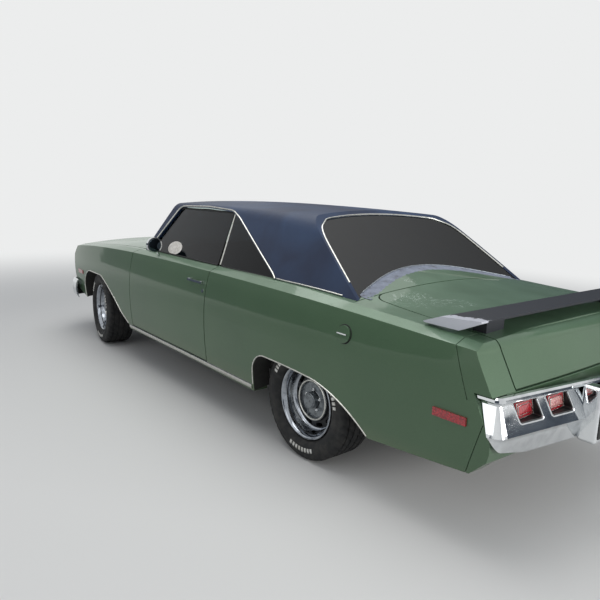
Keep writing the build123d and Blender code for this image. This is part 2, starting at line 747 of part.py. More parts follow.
# Front suspension: crossmember, wishbones and their ball joint bosses
kingpin_y = front_track / 2 - kingpin_inset
lower_boss_z, upper_boss_z = hub_z - 124, hub_z + 120
boss_height = 26
front_suspension = box_between((fx(-90), -apron_y, lower_boss_z - 6), (fx(90), apron_y, 280))
for side in (-1, 1):
    for boss_z in (lower_boss_z, upper_boss_z):
        inner_y = side * (apron_y - 1) if boss_z == lower_boss_z else side * (apron_y + seat_gap)
        arm = [
            (fx(-110), inner_y), (fx(110), inner_y), (fx(24), side * kingpin_y), (fx(-24), side * kingpin_y)
        ]
        arm_piece = plan_prism(arm, boss_z, boss_z + boss_height)
        arm_piece += Pos(fx(0), side * kingpin_y, boss_z + boss_height / 2) * Cylinder(26, boss_height)
        front_suspension += arm_piece
    strut = box_between((fx(-60), 300, 270), (fx(60), 360, 466))
    front_suspension += strut if side > 0 else mirror(strut, about=Plane.XZ)
front_suspension -= box_between((fx(-200), -apron_y - 0.5, rail_z - seat_gap), (fx(200), apron_y + 0.5, 800))


# Knuckle, with its spindle for the wheel
def steered(piece, side):
    """Turns a front wheel piece about its kingpin to the way the car was parked."""
    return Pos(fx(0), side * kingpin_y, 0) * Rot(0, 0, parked_steer) * Pos(
        -fx(0), -side * kingpin_y, 0
    ) * piece


def knuckle(side):
    low, high = lower_boss_z + boss_height + pin_gap, upper_boss_z - pin_gap
    piece = Pos(fx(0), side * kingpin_y, (low + high) / 2) * Box(46, 36, high - low)
    inner, outer = side * (kingpin_y - 10), side * (front_track / 2 + 12)
    low_y, high_y = sorted((inner, outer))
    piece += cross_cylinder(fx(0), hub_z, hub_bore_radius - pin_gap, low_y, high_y)
    return steered(piece, side)


# Wheel: rim with trim ring, slotted centre and hub; tyre with round shoulders
slot_count = 10
slot_ring = 141
centre_ring_radius = 112
disc_thickness = 10
disc_from_middle = 18
rim_outer_radius = tyre_bead_radius - seat_gap
shoulder_share = 34 / 123


def rim(x, y, side):
    """A slotted steel wheel; its outer face looks along side."""
    half = rim_width / 2
    inner_radius = rim_outer_radius - rim_barrel
    profile = [
        (inner_radius, -half), (trim_ring_radius, -half), (trim_ring_radius, -half + 8),
        (rim_outer_radius, -half + 14), (rim_outer_radius, half - 14), (trim_ring_radius, half - 8),
        (trim_ring_radius, half), (inner_radius, half - 26),
    ]
    disc_back = disc_from_middle - disc_thickness
    disc = [
        (hub_bore_radius, -46), (80, -46), (80, 2), (96, 12), (slot_ring + 20, disc_back),
        (inner_radius + 1, -disc_thickness), (inner_radius + 1, 2), (slot_ring + 22, disc_from_middle),
        (centre_ring_radius + 6, disc_from_middle + 6), (centre_ring_radius, 46),
        (centre_ring_radius - 8, 46),
        (centre_ring_radius - 12, 24), (46, 24), (42, 62), (hub_bore_radius, 62),
    ]
    barrel = revolve(make_face(Polyline(*profile, close=True)), axis=Axis.Y)
    wheel = barrel + revolve(make_face(Polyline(*disc, close=True)), axis=Axis.Y)
    slot = Pos(slot_ring, 0, 0) * Rot(90, 0, 0) * extrude(
        SlotOverall(54, 22, rotation=90), amount=120, both=True
    )
    wheel -= [Rot(0, 360 * index / slot_count, 0) * slot for index in range(slot_count)]
    cap = Pos(0, 65, 0) * Rot(90, 0, 0) * Cylinder(38, 8)
    wheel += cap
    if side < 0:
        wheel = mirror(wheel, about=Plane.XZ)
    return Pos(x, y, hub_z) * wheel


def tyre(x, y):
    """A wide tyre with bulging sidewalls and rounded shoulders."""
    half, bead_half = tyre_width / 2, rim_width / 2 - 16
    tread_half = half - 14
    shoulder = tyre_radius - shoulder_share * (tyre_radius - tyre_bead_radius)
    flange_clear = trim_ring_radius + 6
    bulge = (flange_clear + shoulder) / 2
    edges = [
        Line((tyre_bead_radius, -bead_half), (tyre_bead_radius, bead_half)),
        Line((tyre_bead_radius, bead_half), (flange_clear, bead_half + 2)),
        ThreePointArc((flange_clear, bead_half + 2), (bulge, half), (shoulder, half - 4)),
        ThreePointArc(
            (shoulder, half - 4), (tyre_radius - 9, tread_half + 2), (tyre_radius, tread_half - 16)
        ),
        Line((tyre_radius, tread_half - 16), (tyre_radius, -tread_half + 16)),
        ThreePointArc(
            (tyre_radius, -tread_half + 16), (tyre_radius - 9, -tread_half - 2), (shoulder, -half + 4)
        ),
        ThreePointArc((shoulder, -half + 4), (bulge, -half), (flange_clear, -bead_half - 2)),
        Line((flange_clear, -bead_half - 2), (tyre_bead_radius, -bead_half)),
    ]
    return Pos(x, y, hub_z) * revolve(make_face(edges), axis=Axis.Y)


# Bumpers: one section carried round the corner and across the car
def bumper(path_points, radii, outline):
    """A bumper from its plan line and its section (outward, z)."""
    path = FilletPolyline(*[(x, y, 0) for x, y in path_points], radius=radii)
    start, way = path @ 0, path % 0
    plane = Plane(origin=start, x_dir=(0, 0, 1), z_dir=way)
    outward = plane.y_dir.Y > 0
    points = [(z, out if outward else -out) for out, z in outline]
    return sweep(plane * make_face(Polyline(*points, close=True)), path=path, transition=Transition.RIGHT)


rear_bumper_outline = [
    (-14, 704), (2, 704), (11, 697), (13, 687), (-2, 676), (-4, 668), (34, 566), (38, 554), (30, 540),
    (4, 456),
    (-8, 450), (16, 538), (24, 554), (21, 562), (-17, 664), (-15, 682), (-1, 690), (-14, 694),
]
bumper_side, bumper_corner = half_width - 50, half_width - 62
bumper_corner_x, bumper_bend_x, bumper_middle_x = rx(-1146), tail_x + 82, tail_x + 46
bumper_bend_y = 300
rear_bumper_path = [
    (rx(-1020), bumper_side), (bumper_corner_x, bumper_corner), (bumper_bend_x, bumper_bend_y),
    (bumper_middle_x, 0), (bumper_bend_x, -bumper_bend_y), (bumper_corner_x, -bumper_corner),
    (rx(-1020), -bumper_side),
]
bumper_bends = [26, 400, 400, 400, 26]
rear_bumper = bumper(rear_bumper_path, bumper_bends, rear_bumper_outline) & bumper_room(4)
guard = fillet(box_between((tail_x, 262, 446), (tail_x + 80, 332, 694)).edges(), 14)
bracket = box_between((bumper_bend_x - 12, 180, 600), (rx(-1150), 240, 640)) - Pos(-seat_gap, 0, 0) * body
for piece in pair(guard) + pair(bracket):
    rear_bumper += piece

# Flat seats for the registration plates, with their standard holes
plate_spacing_y, plate_spacing_z = 177.8, 120.65
plate_hole = 3.5
rear_plate_x, rear_plate_z = tail_x + 30, 592
rear_bumper -= box_between((tail_x - 50, -160, 514), (rear_plate_x, 160, 670))
rear_bumper += box_between((rear_plate_x, -166, 508), (rear_plate_x + 20, 166, 676))
for y in (-plate_spacing_y / 2, plate_spacing_y / 2):
    for z in (rear_plate_z - plate_spacing_z / 2, rear_plate_z + plate_spacing_z / 2):
        rear_bumper -= rod((rear_plate_x - 10, y, z), (rear_plate_x + 40, y, z), plate_hole)
front_bumper_outline = [
    (-12, 500), (4, 496), (14, 470), (20, 420), (12, 360), (-8, 325),
    (-12, 325), (-1, 366), (7, 420), (3, 464), (-2, 484), (-12, 490),
]
front_bumper_path = [
    (fx(540), half_width - 22), (fx(722), half_width - 36), (nose_x - 60, 420), (nose_x - 22, 0),
    (nose_x - 60, -420), (fx(722), -half_width + 36), (fx(540), -half_width + 22),
]
front_bumper = bumper(front_bumper_path, [90, 500, 700, 500, 90], front_bumper_outline)
for bracket in pair(box_between((rail_front + seat_gap, rail_y - 25, 400), (nose_x - 55, rail_y + 25, 450))):
    front_bumper += bracket
front_plate_z = 420
front_bumper += box_between((nose_x - 20, -166, 378), (nose_x, 166, 462))
for y in (-plate_spacing_y / 2, plate_spacing_y / 2):
    front_bumper -= rod((nose_x - 50, y, front_plate_z), (nose_x + 10, y, front_plate_z), plate_hole)

# Tail lamps in slanted openings of the bumper, each in a dark housing: (inner y, outer y)
lamp_spans = [(394, 552), (586, 742)]
lamp_low, lamp_high = 594, 678
lamp_slant = 22
lamp_corner = 12
lamp_front = rx(-1100)
housing_wall = 3
lens_behind_path = 10


def lamp_prism(span, grow, x_rear, x_front):
    """The lamp's slanted outline, grown all round, carried along the car."""
    inner, outer = span
    points = [
        (outer, lamp_high), (inner + lamp_slant, lamp_high), (inner, lamp_low), (outer - lamp_slant, lamp_low)
    ]
    face = make_face(Polyline(*[(x_rear, y, z) for y, z in points], close=True))
    prism = extrude(face, amount=x_front - x_rear, dir=(1, 0, 0))
    prism = fillet(prism.edges().filter_by(Axis.X), lamp_corner)
    if grow:
        prism = extrude(
            offset(prism.faces().sort_by(Axis.X)[0], grow), amount=x_front - x_rear, dir=(1, 0, 0)
        )
    return prism


beyond_face_outline = [(-7, 672), (31, 566), (31, 540), (260, 540), (260, 700), (-7, 700)]
beyond_face = bumper(rear_bumper_path, bumper_bends, beyond_face_outline)
lifted_tail = Pos(-seat_gap, 0, 0) * body
lamps, housings = [], []
for span in lamp_spans:
    middle = sum(span) / 2
    along = (bumper_corner - middle) / (bumper_corner - bumper_bend_y)
    lens_x = bumper_corner_x + (bumper_bend_x - bumper_corner_x) * along + lens_behind_path
    for opening in pair(lamp_prism(span, 0, tail_x - 40, lamp_front)):
        rear_bumper -= opening
    lamp = lamp_prism(span, -housing_wall - 2 * seat_gap, lens_x, lamp_front)
    tube = lamp_prism(span, -seat_gap, tail_x - 40, lamp_front)
    tube -= lamp_prism(span, -housing_wall - seat_gap, tail_x - 50, lamp_front + 10)
    lamps += pair(lamp)
    housings += pair(tube - lifted_tail - beyond_face)
    for room in pair(lamp_prism(span, -housing_wall - seat_gap, tail_x - 40, rx(-1000))):
        tail_panel -= room

# Grille: level bars on upright posts, between round headlamps
bar_count = 9
bar_height = 7
bar_depth = 24
grille_x = fx(672)
grille_span = grille_half - 198
grille = Part()
for index in range(bar_count):
    z = grille_low + 10 + index * (grille_high - grille_low - 20 - bar_height) / (bar_count - 1)
    grille += box_between((grille_x, -grille_span, z), (grille_x + bar_depth, grille_span, z + bar_height))
for y in (-grille_span, -grille_span / 2, -14, grille_span / 2 - 14, grille_span - 14):
    grille += box_between((grille_x - 12, y, grille_low), (grille_x + bar_depth - 4, y + 14, grille_high))
headlamp_y = grille_half - 96
headlamp_radius = 92
headlamp_z = (grille_low + grille_high) / 2
lamp_profile = [(0, 0), (headlamp_radius, 0), (headlamp_radius, 60), (headlamp_radius - 10, 64), (0, 76)]
headlamp = revolve(make_face(Polyline(*lamp_profile, close=True)), axis=Axis.Y)
headlamp = Pos(fx(636), headlamp_y, headlamp_z) * Rot(0, 0, -90) * headlamp
bezel_frame = box_between(
    (fx(640), grille_span + seat_gap, grille_low + seat_gap),
    (fx(700), grille_half - seat_gap, grille_high - seat_gap),
)
bezel_frame -= Pos(fx(670), headlamp_y, headlamp_z) * Rot(0, 90, 0) * Cylinder(headlamp_radius, 100)
headlamp += bezel_frame


def proud_of_side(region, height, lift=seat_gap):
    """A thin piece that follows the body's side and stands proud of it, from lift to height."""
    return (Pos(0, height, 0) * body & region) - Pos(0, lift, 0) * body


# Side marker lamps and the fuel cap
front_marker = proud_of_side(box_between((fx(420), inner_wall, 572), (fx(560), outside, 606)), 6)
rear_marker = proud_of_side(box_between((rx(-1034), inner_wall, 562), (rx(-878), outside, 597)), 8)
marker_lamps = pair(front_marker) + pair(rear_marker)
fuel_cap = proud_of_side(cross_cylinder(rx(-343), 783, 42, inner_wall, outside), 9)

# Door handle with two feet, and its lock
handle_rear, handle_front = rx(960), rx(1142)
handle_low, handle_high = 824, 842
grip_region = box_between((handle_rear, inner_wall, handle_low + 2), (handle_front, outside, handle_high - 2))
left_handle = proud_of_side(grip_region, 28, 18)
for foot_x in (handle_rear, handle_front - 30):
    foot = box_between((foot_x, inner_wall, handle_low), (foot_x + 30, outside, handle_high))
    left_handle += proud_of_side(foot, 22)
left_lock = proud_of_side(cross_cylinder(rx(969), 778, 11, inner_wall, outside), 4)

# Rear wing on the lid: blade, pedestals and end plates
blade_front, blade_rear = (-798, 945), (-1006, 966)
end_plate_foot = 910
blade_half = 735
wing_half = 773
blade_outline = [
    (rx(blade_front[0]), blade_front[1]),
    (rx(blade_front[0] - 12), blade_front[1] + 5),
    (rx(blade_rear[0]), blade_rear[1]),
    (rx(blade_rear[0]), blade_rear[1] - 8),
    (rx(-900), blade_front[1] - 4),
    (rx(blade_front[0] - 10), blade_front[1] - 6),
]
rear_wing = side_prism(blade_outline, -blade_half, blade_half)
pedestal = box_between((rx(-960), 530, 700), (rx(-895), 660, 950)) - Pos(0, 0, seat_gap) * body
rear_wing += max(pedestal.solids(), key=lambda solid: solid.volume)
rear_wing += mirror(max(pedestal.solids(), key=lambda solid: solid.volume), about=Plane.XZ)
plate_outline = blade_outline[:4] + [
    (rx(-905), end_plate_foot), (rx(-728), end_plate_foot), (rx(-722), end_plate_foot + 5)
]
for plate in pair(side_prism(plate_outline, blade_half - 4, wing_half)):
    rear_wing += plate

# Round mirror on the left door
mirror_x, mirror_y, mirror_z = fx(-1128), half_width - 22, 1001
door_mirror = Pos(mirror_x, mirror_y, mirror_z) * Rot(0, 90, 0) * Cylinder(57, 26)
door_mirror += rod((mirror_x + 4, mirror_y, mirror_z), (mirror_x + 16, half_width - 78, 900), 9)
door_mirror -= Pos(0, 0, seat_gap) * body

# Front bench seat, rear seat, instrument panel and steering wheel
seat_half = inner_wall - 69
seat_tunnel = tunnel_core + Pos((tunnel_front + tunnel_rear) / 2, 0, tunnel_z) * Rot(0, 90, 0) * Cylinder(
    tunnel_radius + 3, tunnel_length
)
floor_top = floor_z + floor_skin + seat_gap
cushion_outline = [
    (rx(1180), floor_top), (rx(1640), floor_top), (rx(1700), 470), (rx(1640), 520), (rx(1180), 470)
]
back_outline = [
    (rx(1176), floor_top), (rx(1176), 480), (rx(1050), 900), (rx(960), 900), (rx(1040), floor_top)
]
front_seat = side_prism(cushion_outline, -seat_half, seat_half) - seat_tunnel
front_back = side_prism(back_outline, -seat_half, seat_half) - seat_tunnel
floor_rise_top = 540 + floor_skin + seat_gap


def rise_top(x):
    """Height of the raised floor's upper face at a place ahead of the rear axle."""
    return floor_rise_top + (480 - x) * 20 / 860


rear_cushion_outline = [
    (rx(410), rise_top(410)), (rx(480), rise_top(480)), (rx(720.5), floor_top), (rx(830), floor_top),
    (rx(850), 480), (rx(800), 510), (rx(410), 575),
]
rear_back_outline = [
    (rx(250), rise_top(250)), (rx(404), rise_top(404)), (rx(404), 620), (rx(300), 855), (rx(200), 855),
    (rx(240), rise_top(240)),
]
rear_half = rear_arch_inner - skin - 6
rear_seat = side_prism(rear_cushion_outline, -rear_half, rear_half) - seat_tunnel
rear_back = side_prism(rear_back_outline, -rear_half, rear_half)
dash_outline = [
    (plenum_rear - seat_gap, 640), (plenum_rear - seat_gap, 900), (fx(-960), 880), (fx(-1050), 820),
    (fx(-1040), 740), (fx(-960), 640),
]
dashboard = side_prism(dash_outline, -floor_half + 70, floor_half - 70) - Pos(0, 0, -1) * cowl_panel
wheel_centre = (fx(-1265), 370, 800)
column_end = (fx(-1000), 370, 720)
column_tilt = degrees(atan2(80, 265))
steering_wheel = Pos(*wheel_centre) * Rot(0, 90 + column_tilt, 0) * Torus(190, 13)
steering_wheel += rod(wheel_centre, column_end, 22)
for angle in (90, 210, 330):
    spoke = Pos(*wheel_centre) * Rot(
        0, 90 + column_tilt, 0
    ) * Rot(0, 0, angle) * Pos(95, 0, 0) * Box(190, 26, 8)
    steering_wheel += spoke
dashboard -= rod(wheel_centre, column_end, 22.3)

nodes = {
    "left_fender": left_fender,
    "right_fender": mirror(left_fender, about=Plane.XZ),
    "left_door": left_door,
    "right_door": mirror(left_door, about=Plane.XZ),
    "left_quarter_panel": left_quarter,
    "right_quarter_panel": mirror(left_quarter, about=Plane.XZ),
    "quarter_caps": Compound(children=[piece for cap in left_caps for piece in pair(cap)]),
    "sills": Compound(children=pair(left_sill)),
    "hood": hood,
    "cowl_panel": cowl_panel,
    "nose_panel": nose_panel,
    "deck_lid": deck_lid,
    "lid_hinges": Compound(children=pair(neck)),
    "rear_deck_panel": Compound(children=[rear_deck_panel] + pair(lid_bracket)),
    "parcel_shelf": shelf,
    "tail_panel": tail_panel,
    "roof": roof,
    "windshield": windshield,
    "backlight": backlight,
    "left_door_glass": left_door_glass,
    "right_door_glass": mirror(left_door_glass, about=Plane.XZ),
    "quarter_glass": Compound(children=pair(left_quarter_glass)),
    "floor_pan": floor_pan,
    "boot_floor": boot_floor,
    "wheel_housings": Compound(children=pair(arch_shell)),
    "frame_rails": Compound(children=pair(left_rail) + pair(left_rear_rail)),
    "radiator": radiator_support,
    "engine": engine,
    "driveshaft": driveshaft,
    "rear_axle": rear_axle,
    "leaf_springs": Compound(children=pair(left_spring)),
    "exhaust": exhaust,
    "fuel_tank": fuel_tank,
    "front_suspension": front_suspension,
    "front_bumper": front_bumper,
    "rear_bumper": rear_bumper,
    "grille": grille,
    "headlamps": Compound(children=pair(headlamp)),
    "tail_lamps": Compound(children=lamps),
    "lamp_housings": Compound(children=housings),
    "marker_lamps": Compound(children=marker_lamps),
    "fuel_cap": fuel_cap,
    "rear_wing": rear_wing,
    "door_mirror": door_mirror,
    "front_seat": Compound(children=[front_seat, front_back]),
    "rear_seat": Compound(children=[rear_seat, rear_back]),
    "dashboard": dashboard,
    "steering_wheel": steering_wheel,
}
handle_pieces = list(zip(pair(left_handle), pair(left_lock)))
for name, side, handle in (("left", 1, handle_pieces[0]), ("right", -1, handle_pieces[1])):
    y_front, y_rear = side * front_track / 2, side * rear_track / 2
    nodes[name + "_door_handle"] = Compound(children=list(handle))
    nodes[name + "_knuckle"] = knuckle(side)
    nodes["front_" + name + "_rim"] = steered(rim(fx(0), y_front, side), side)
    nodes["front_" + name + "_tyre"] = steered(tyre(fx(0), y_front), side)
    nodes["rear_" + name + "_rim"] = rim(rx(0), y_rear, side)
    nodes["rear_" + name + "_tyre"] = tyre(rx(0), y_rear)

os.makedirs("parts", exist_ok=True)
for name, piece in nodes.items():
    export_step(piece, "parts/" + name + ".step")
print(len(nodes), "pieces,", round(overall_length), "mm long")
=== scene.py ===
# %% [markdown]
# # A two-door hardtop from the early nineteen seventies
# The car stands parked with its front wheels turned a little to the right, seen from behind its
# left corner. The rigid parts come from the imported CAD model: this lesson gives them their finishes
# and adds what a workshop would fit last, such as mouldings, tread, lug nuts, lenses, seat covers
# and door cards.

import json
import math

import bmesh
import bpy
from mathutils import Matrix, Vector
from mathutils.bvhtree import BVHTree


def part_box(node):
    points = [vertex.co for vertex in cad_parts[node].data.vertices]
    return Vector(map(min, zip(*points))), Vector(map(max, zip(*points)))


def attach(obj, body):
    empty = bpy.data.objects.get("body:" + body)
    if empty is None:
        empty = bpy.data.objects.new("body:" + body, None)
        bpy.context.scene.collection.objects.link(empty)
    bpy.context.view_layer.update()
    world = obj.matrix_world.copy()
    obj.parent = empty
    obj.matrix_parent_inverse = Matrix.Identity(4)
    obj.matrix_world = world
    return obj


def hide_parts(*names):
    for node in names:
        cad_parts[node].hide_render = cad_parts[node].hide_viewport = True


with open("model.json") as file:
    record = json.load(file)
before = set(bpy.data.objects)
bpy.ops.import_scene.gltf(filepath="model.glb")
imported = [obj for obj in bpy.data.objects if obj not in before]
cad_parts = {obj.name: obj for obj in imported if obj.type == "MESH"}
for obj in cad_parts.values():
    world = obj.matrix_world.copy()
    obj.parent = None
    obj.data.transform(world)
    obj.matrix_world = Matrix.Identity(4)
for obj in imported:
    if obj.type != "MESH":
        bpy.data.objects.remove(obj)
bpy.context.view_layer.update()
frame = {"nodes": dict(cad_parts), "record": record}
nodes = frame["nodes"]

# %% [markdown]
# ## The places that everything is measured from
# A car is set out from its axles, so these few lengths in metres are what the mouldings, the lamps
# and the marks on the lid are measured from. The wheels themselves stand at the joints in model.json.

# %% Axles and tyres
front_axle = 1.6375
rear_axle = -1.1815
tyre_radius = 0.320
tyre_width = 0.235


def fx(mm):
    """A place along the car, in millimetres ahead of the front axle."""
    return front_axle + mm / 1000


def rx(mm):
    """A place along the car, in millimetres ahead of the rear axle."""
    return rear_axle + mm / 1000


print("wheelbase", round(front_axle - rear_axle, 3), "m")

# %% [markdown]
# ## The camera
# The picture was taken by someone standing behind the left rear corner. The lens, the height and
# the slight lean of the frame were found by matching known points of the car, so a matrix is
# written directly from the viewing direction instead of aiming the camera at a target.

# %% Camera
yaw, pitch, lean = math.radians(-39.77), math.radians(10.54), math.radians(2.27)
forward = Vector((math.cos(pitch) * math.cos(yaw), math.cos(pitch) * math.sin(yaw), -math.sin(pitch)))
level_right = forward.cross(Vector((0, 0, 1))).normalized()
level_up = level_right.cross(forward)
right = level_right * math.cos(lean) + level_up * math.sin(lean)
up = -level_right * math.sin(lean) + level_up * math.cos(lean)

camera_data = bpy.data.cameras.new("camera")
camera_data.sensor_width = 36
camera_data.lens = 34.76
camera_data.shift_x = 1 / 600
camera_data.shift_y = -4.6 / 600
camera = bpy.data.objects.new("camera", camera_data)
bpy.context.scene.collection.objects.link(camera)
turn = Matrix((right, up, -forward)).transposed().to_4x4()
camera.matrix_world = Matrix.Translation((-3.4305, 2.743, 1.456)) @ turn
bpy.context.scene.camera = camera
print("camera height", round(camera.location.z, 3), "m, lens", camera_data.lens, "mm")

# %% [markdown]
# ## Helpers for finishes
# Paint charts give colours as sRGB hex codes, while a shader works in linear light, so one function
# converts them. A second one adds a shader node with its settings and its links. The rest are the
# few nodes that nearly every material needs, which keeps each material below to a few readable
# lines.


# %% Colour and shader helpers
def linear(code):
    """An sRGB hex colour as linear red, green, blue and alpha."""
    parts = [int(code[i : i + 2], 16) / 255 for i in (1, 3, 5)]
    return [v / 12.92 if v <= 0.04045 else ((v + 0.055) / 1.055) ** 2.4 for v in parts] + [1]


def link(owner, socket, target):
    """Joins an output to an input of a material or the world."""
    owner.node_tree.links.new(socket, target)


def add_node(owner, kind, settings=None, links=None):
    """Adds one shader node; settings are attributes or inputs, links name the sockets that feed inputs."""
    node = owner.node_tree.nodes.new(kind)
    for key, value in (settings or {}).items():
        if isinstance(key, str) and hasattr(node, key):
            setattr(node, key, value)
        else:
            node.inputs[key].default_value = value
    for key, socket in (links or {}).items():
        link(owner, socket, node.inputs[key])
    return node


def new_material(name, **surface):
    """A material with one Principled surface, and the settings of that surface."""
    material = bpy.data.materials.new(name)
    material.use_nodes = True
    shader = material.node_tree.nodes["Principled BSDF"]
    for key, value in surface.items():
        shader.inputs[key.replace("_", " ")].default_value = value
    return material, shader


def ramp(material, source, stops):
    """A colour ramp over a 0 to 1 socket; stops are (place, hex colour)."""
    node = add_node(material, "ShaderNodeValToRGB", links={"Fac": source})
    elements = node.color_ramp.elements
    while len(elements) < len(stops):
        elements.new(0.5)
    for element, (place, code) in zip(elements, stops):
        element.position = place
        element.color = linear(code)
    return node.outputs["Color"]


def coords(material, kind="Object"):
    """Places on the piece, in metres."""
    return add_node(material, "ShaderNodeTexCoord").outputs[kind]


def part_of(material, vector, axis):
    """One axis of a vector socket."""
    return add_node(material, "ShaderNodeSeparateXYZ", links={0: vector}).outputs[axis]


def noise(material, spot, scale, detail, **more):
    """Soft noise from 0 to 1."""
    settings = {"Scale": scale, "Detail": detail, **more}
    return add_node(material, "ShaderNodeTexNoise", settings, {"Vector": spot}).outputs["Fac"]


def cells(material, spot, width_mm, **more):
    """A cell pattern whose cells are about so wide."""
    settings = {"Scale": 1000 / width_mm, **more}
    return add_node(material, "ShaderNodeTexVoronoi", settings, {"Vector": spot}).outputs


def maths(owner, operation, *values):
    """One sum of sockets and numbers."""
    node = add_node(owner, "ShaderNodeMath", {"operation": operation})
    for place, value in zip(node.inputs, values):
        if isinstance(value, (int, float)):
            place.default_value = value
        else:
            link(owner, value, place)
    return node.outputs[0]


def mapped(material, value, low, high, to_low=0.0, to_high=1.0, **more):
    """A socket's range stretched to another one."""
    ends = {"From Min": low, "From Max": high, "To Min": to_low, "To Max": to_high}
    return add_node(material, "ShaderNodeMapRange", {**ends, **more}, {"Value": value}).outputs[0]


def mixed(owner, share, first, second):
    """Two colours mixed by a share of the second; each is a hex code or a socket."""
    node = add_node(owner, "ShaderNodeMix", {"data_type": "RGBA"}, {0: share})
    for place, colour in ((node.inputs[6], first), (node.inputs[7], second)):
        if isinstance(colour, str):
            place.default_value = linear(colour)
        else:
            link(owner, colour, place)
    return node.outputs[2]


def bumped(material, surface, height, strength, distance=0.001, under=None):
    """Relief from a height, over the normal of another node where one is given."""
    links = {"Height": height, **({"Normal": under} if under else {})}
    relief = add_node(material, "ShaderNodeBump", {"Strength": strength, "Distance": distance}, links)
    link(material, relief.outputs[0], surface.inputs["Normal"])


print("white is", linear("#ffffff"))


# %% [markdown]
# ## Helpers for shapes
# Many pieces are the same few nets of points: a grid, a stack of rings, or a flat oval. These
# functions write their faces and points once.


# %% Nets of points
def grid_faces(rows, columns):
    """The faces of a net of points that has one more point than faces each way."""
    wide = columns + 1
    corners = [r * wide + c for r in range(rows) for c in range(columns)]
    return [(a, a + 1, a + wide + 1, a + wide) for a in corners]


def ring_faces(rings, steps):
    """The faces between rings of points that lie one on another."""
    faces = []
    for r in range(rings - 1):
        for i in range(steps):
            n = (i + 1) % steps
            faces.append((r * steps + i, r * steps + n, (r + 1) * steps + n, (r + 1) * steps + i))
    return faces


def oval(half_width, half_height, steps=48):
    """Points round a flat oval."""
    turns = [i / steps * math.tau for i in range(steps)]
    return [(half_width * math.cos(a), half_height * math.sin(a)) for a in turns]


print("an oval has", len(oval(1, 1)), "points")

# %% [markdown]
# ## Floor, air and lamps
# A car is photographed in a room with no corners: the floor runs up into the background without a
# line, and large soft panes of light hang above and beside it, because paint and chrome show
# whatever is around them. The floor below turns into the colour of the background with distance,
# which gives the same look with one flat disc.

# %% Background and floor
air = "#eceded"
fill_grey = "#979ca3"
floor_radius = 90
fade_from, fade_to = 3.4, 9.0
bpy.context.scene.view_settings.view_transform = "Standard"
world = bpy.data.worlds.new("studio")
bpy.context.scene.world = world
world.use_nodes = True
sky = world.node_tree.nodes["Background"]
sky.inputs["Strength"].default_value = 1.0
rays = add_node(world, "ShaderNodeLightPath").outputs
seen = maths(world, "MAXIMUM", rays["Is Camera Ray"], rays["Is Glossy Ray"])
seen = maths(world, "MAXIMUM", seen, rays["Is Transmission Ray"])
link(world, mixed(world, seen, fill_grey, air), sky.inputs["Color"])


def staged(name, corners, material):
    """One flat face of the studio."""
    mesh = bpy.data.meshes.new(name)
    mesh.from_pydata(corners, [], [range(len(corners))])
    mesh.materials.append(material)
    sheet = bpy.data.objects.new(name, mesh)
    bpy.context.scene.collection.objects.link(sheet)
    return sheet


poured, poured_surface = new_material("poured_floor", Base_Color=linear("#dcdbd8"), Roughness=0.85)
away = add_node(poured, "ShaderNodeVectorMath", {"operation": "LENGTH"}, {0: coords(poured)})
fade = mapped(poured, away.outputs["Value"], fade_from, fade_to, interpolation_type="SMOOTHSTEP")
glow = add_node(poured, "ShaderNodeEmission", {"Color": linear(air)})
links = {0: fade, 1: poured_surface.outputs["BSDF"], 2: glow.outputs["Emission"]}
blend = add_node(poured, "ShaderNodeMixShader", links=links)
link(poured, blend.outputs[0], poured.node_tree.nodes["Material Output"].inputs["Surface"])
staged("floor", [(x, y, 0) for x, y in oval(floor_radius, floor_radius)], poured)
print("floor is", 2 * floor_radius, "m across and fades between", fade_from, "and", fade_to, "m")


# %% Lamps
def soft_pane(name, position, target, size, watts):
    """A rectangular softbox that looks at a target."""
    light = bpy.data.lights.new(name, "AREA")
    light.shape = "RECTANGLE"
    light.size, light.size_y = size
    light.energy = watts
    lamp = bpy.data.objects.new(name, light)
    lamp.location = position
    lamp.rotation_euler = (Vector(target) - Vector(position)).to_track_quat("-Z", "Y").to_euler()
    bpy.context.scene.collection.objects.link(lamp)


soft_pane("overhead", (0.5, 0.5, 5.5), (0, 0, 0.6), (7, 3.5), 165)
soft_pane("left_side", (-1.0, 6.0, 3.2), (0, 0, 0.7), (7, 2.5), 42)
soft_pane("rear", (-7.5, -1.0, 2.4), (-2.2, 0, 0.7), (4, 2.2), 235)
print("three soft panes of light")

# %% [markdown]
# ## Dark cards
# Chrome, paint and glass are drawn by what they mirror, and a room that is pale all round leaves
# them flat. So large dark cards stand out of the picture at both sides, as a photographer sets
# them. Only mirrored rays see them: they throw no shadow and take no light away.

# %% Cards
card_grey, _ = new_material("black_card", Base_Color=linear("#000000"), Roughness=1.0)
card_glow = add_node(card_grey, "ShaderNodeEmission", {"Color": linear("#4b525b")})
link(card_grey, card_glow.outputs[0], card_grey.node_tree.nodes["Material Output"].inputs["Surface"])
card_foot = 0.02
for name, (x0, y0), (x1, y1), top in (
    ("right_card", (-4, -5), (7, -5), 4.2),
    ("right_rear_card", (-11, -5), (-4, -5), 1.7),
    ("left_rear_card", (-9, 7), (-2.5, 8), 2.4),
    ("left_card", (2, 8), (14, 5), 2.6),
):
    card = staged(name, [(x0, y0, card_foot), (x1, y1, card_foot), (x1, y1, top), (x0, y0, top)], card_grey)
    card.visible_camera = card.visible_diffuse = card.visible_shadow = card.visible_transmission = False
print("four dark cards")

# %% [markdown]
# ## Green metallic enamel
# The body is sprayed with metallic acrylic enamel: aluminium flakes lie in a green film under a
# clear gloss. Flakes give the eye a fine glitter and a colour that is brightest where the light
# comes straight back. The upward faces are painted paler in blotches, partly for fifty years of
# sun fade and partly as painted light from the sky above. The flakes are a cell pattern. Real
# flakes are 0.05 mm wide, too fine to show here, so they are drawn 1.5 mm wide.

# %% Body paint
flake_mm = 1.5
fold_mm = 4


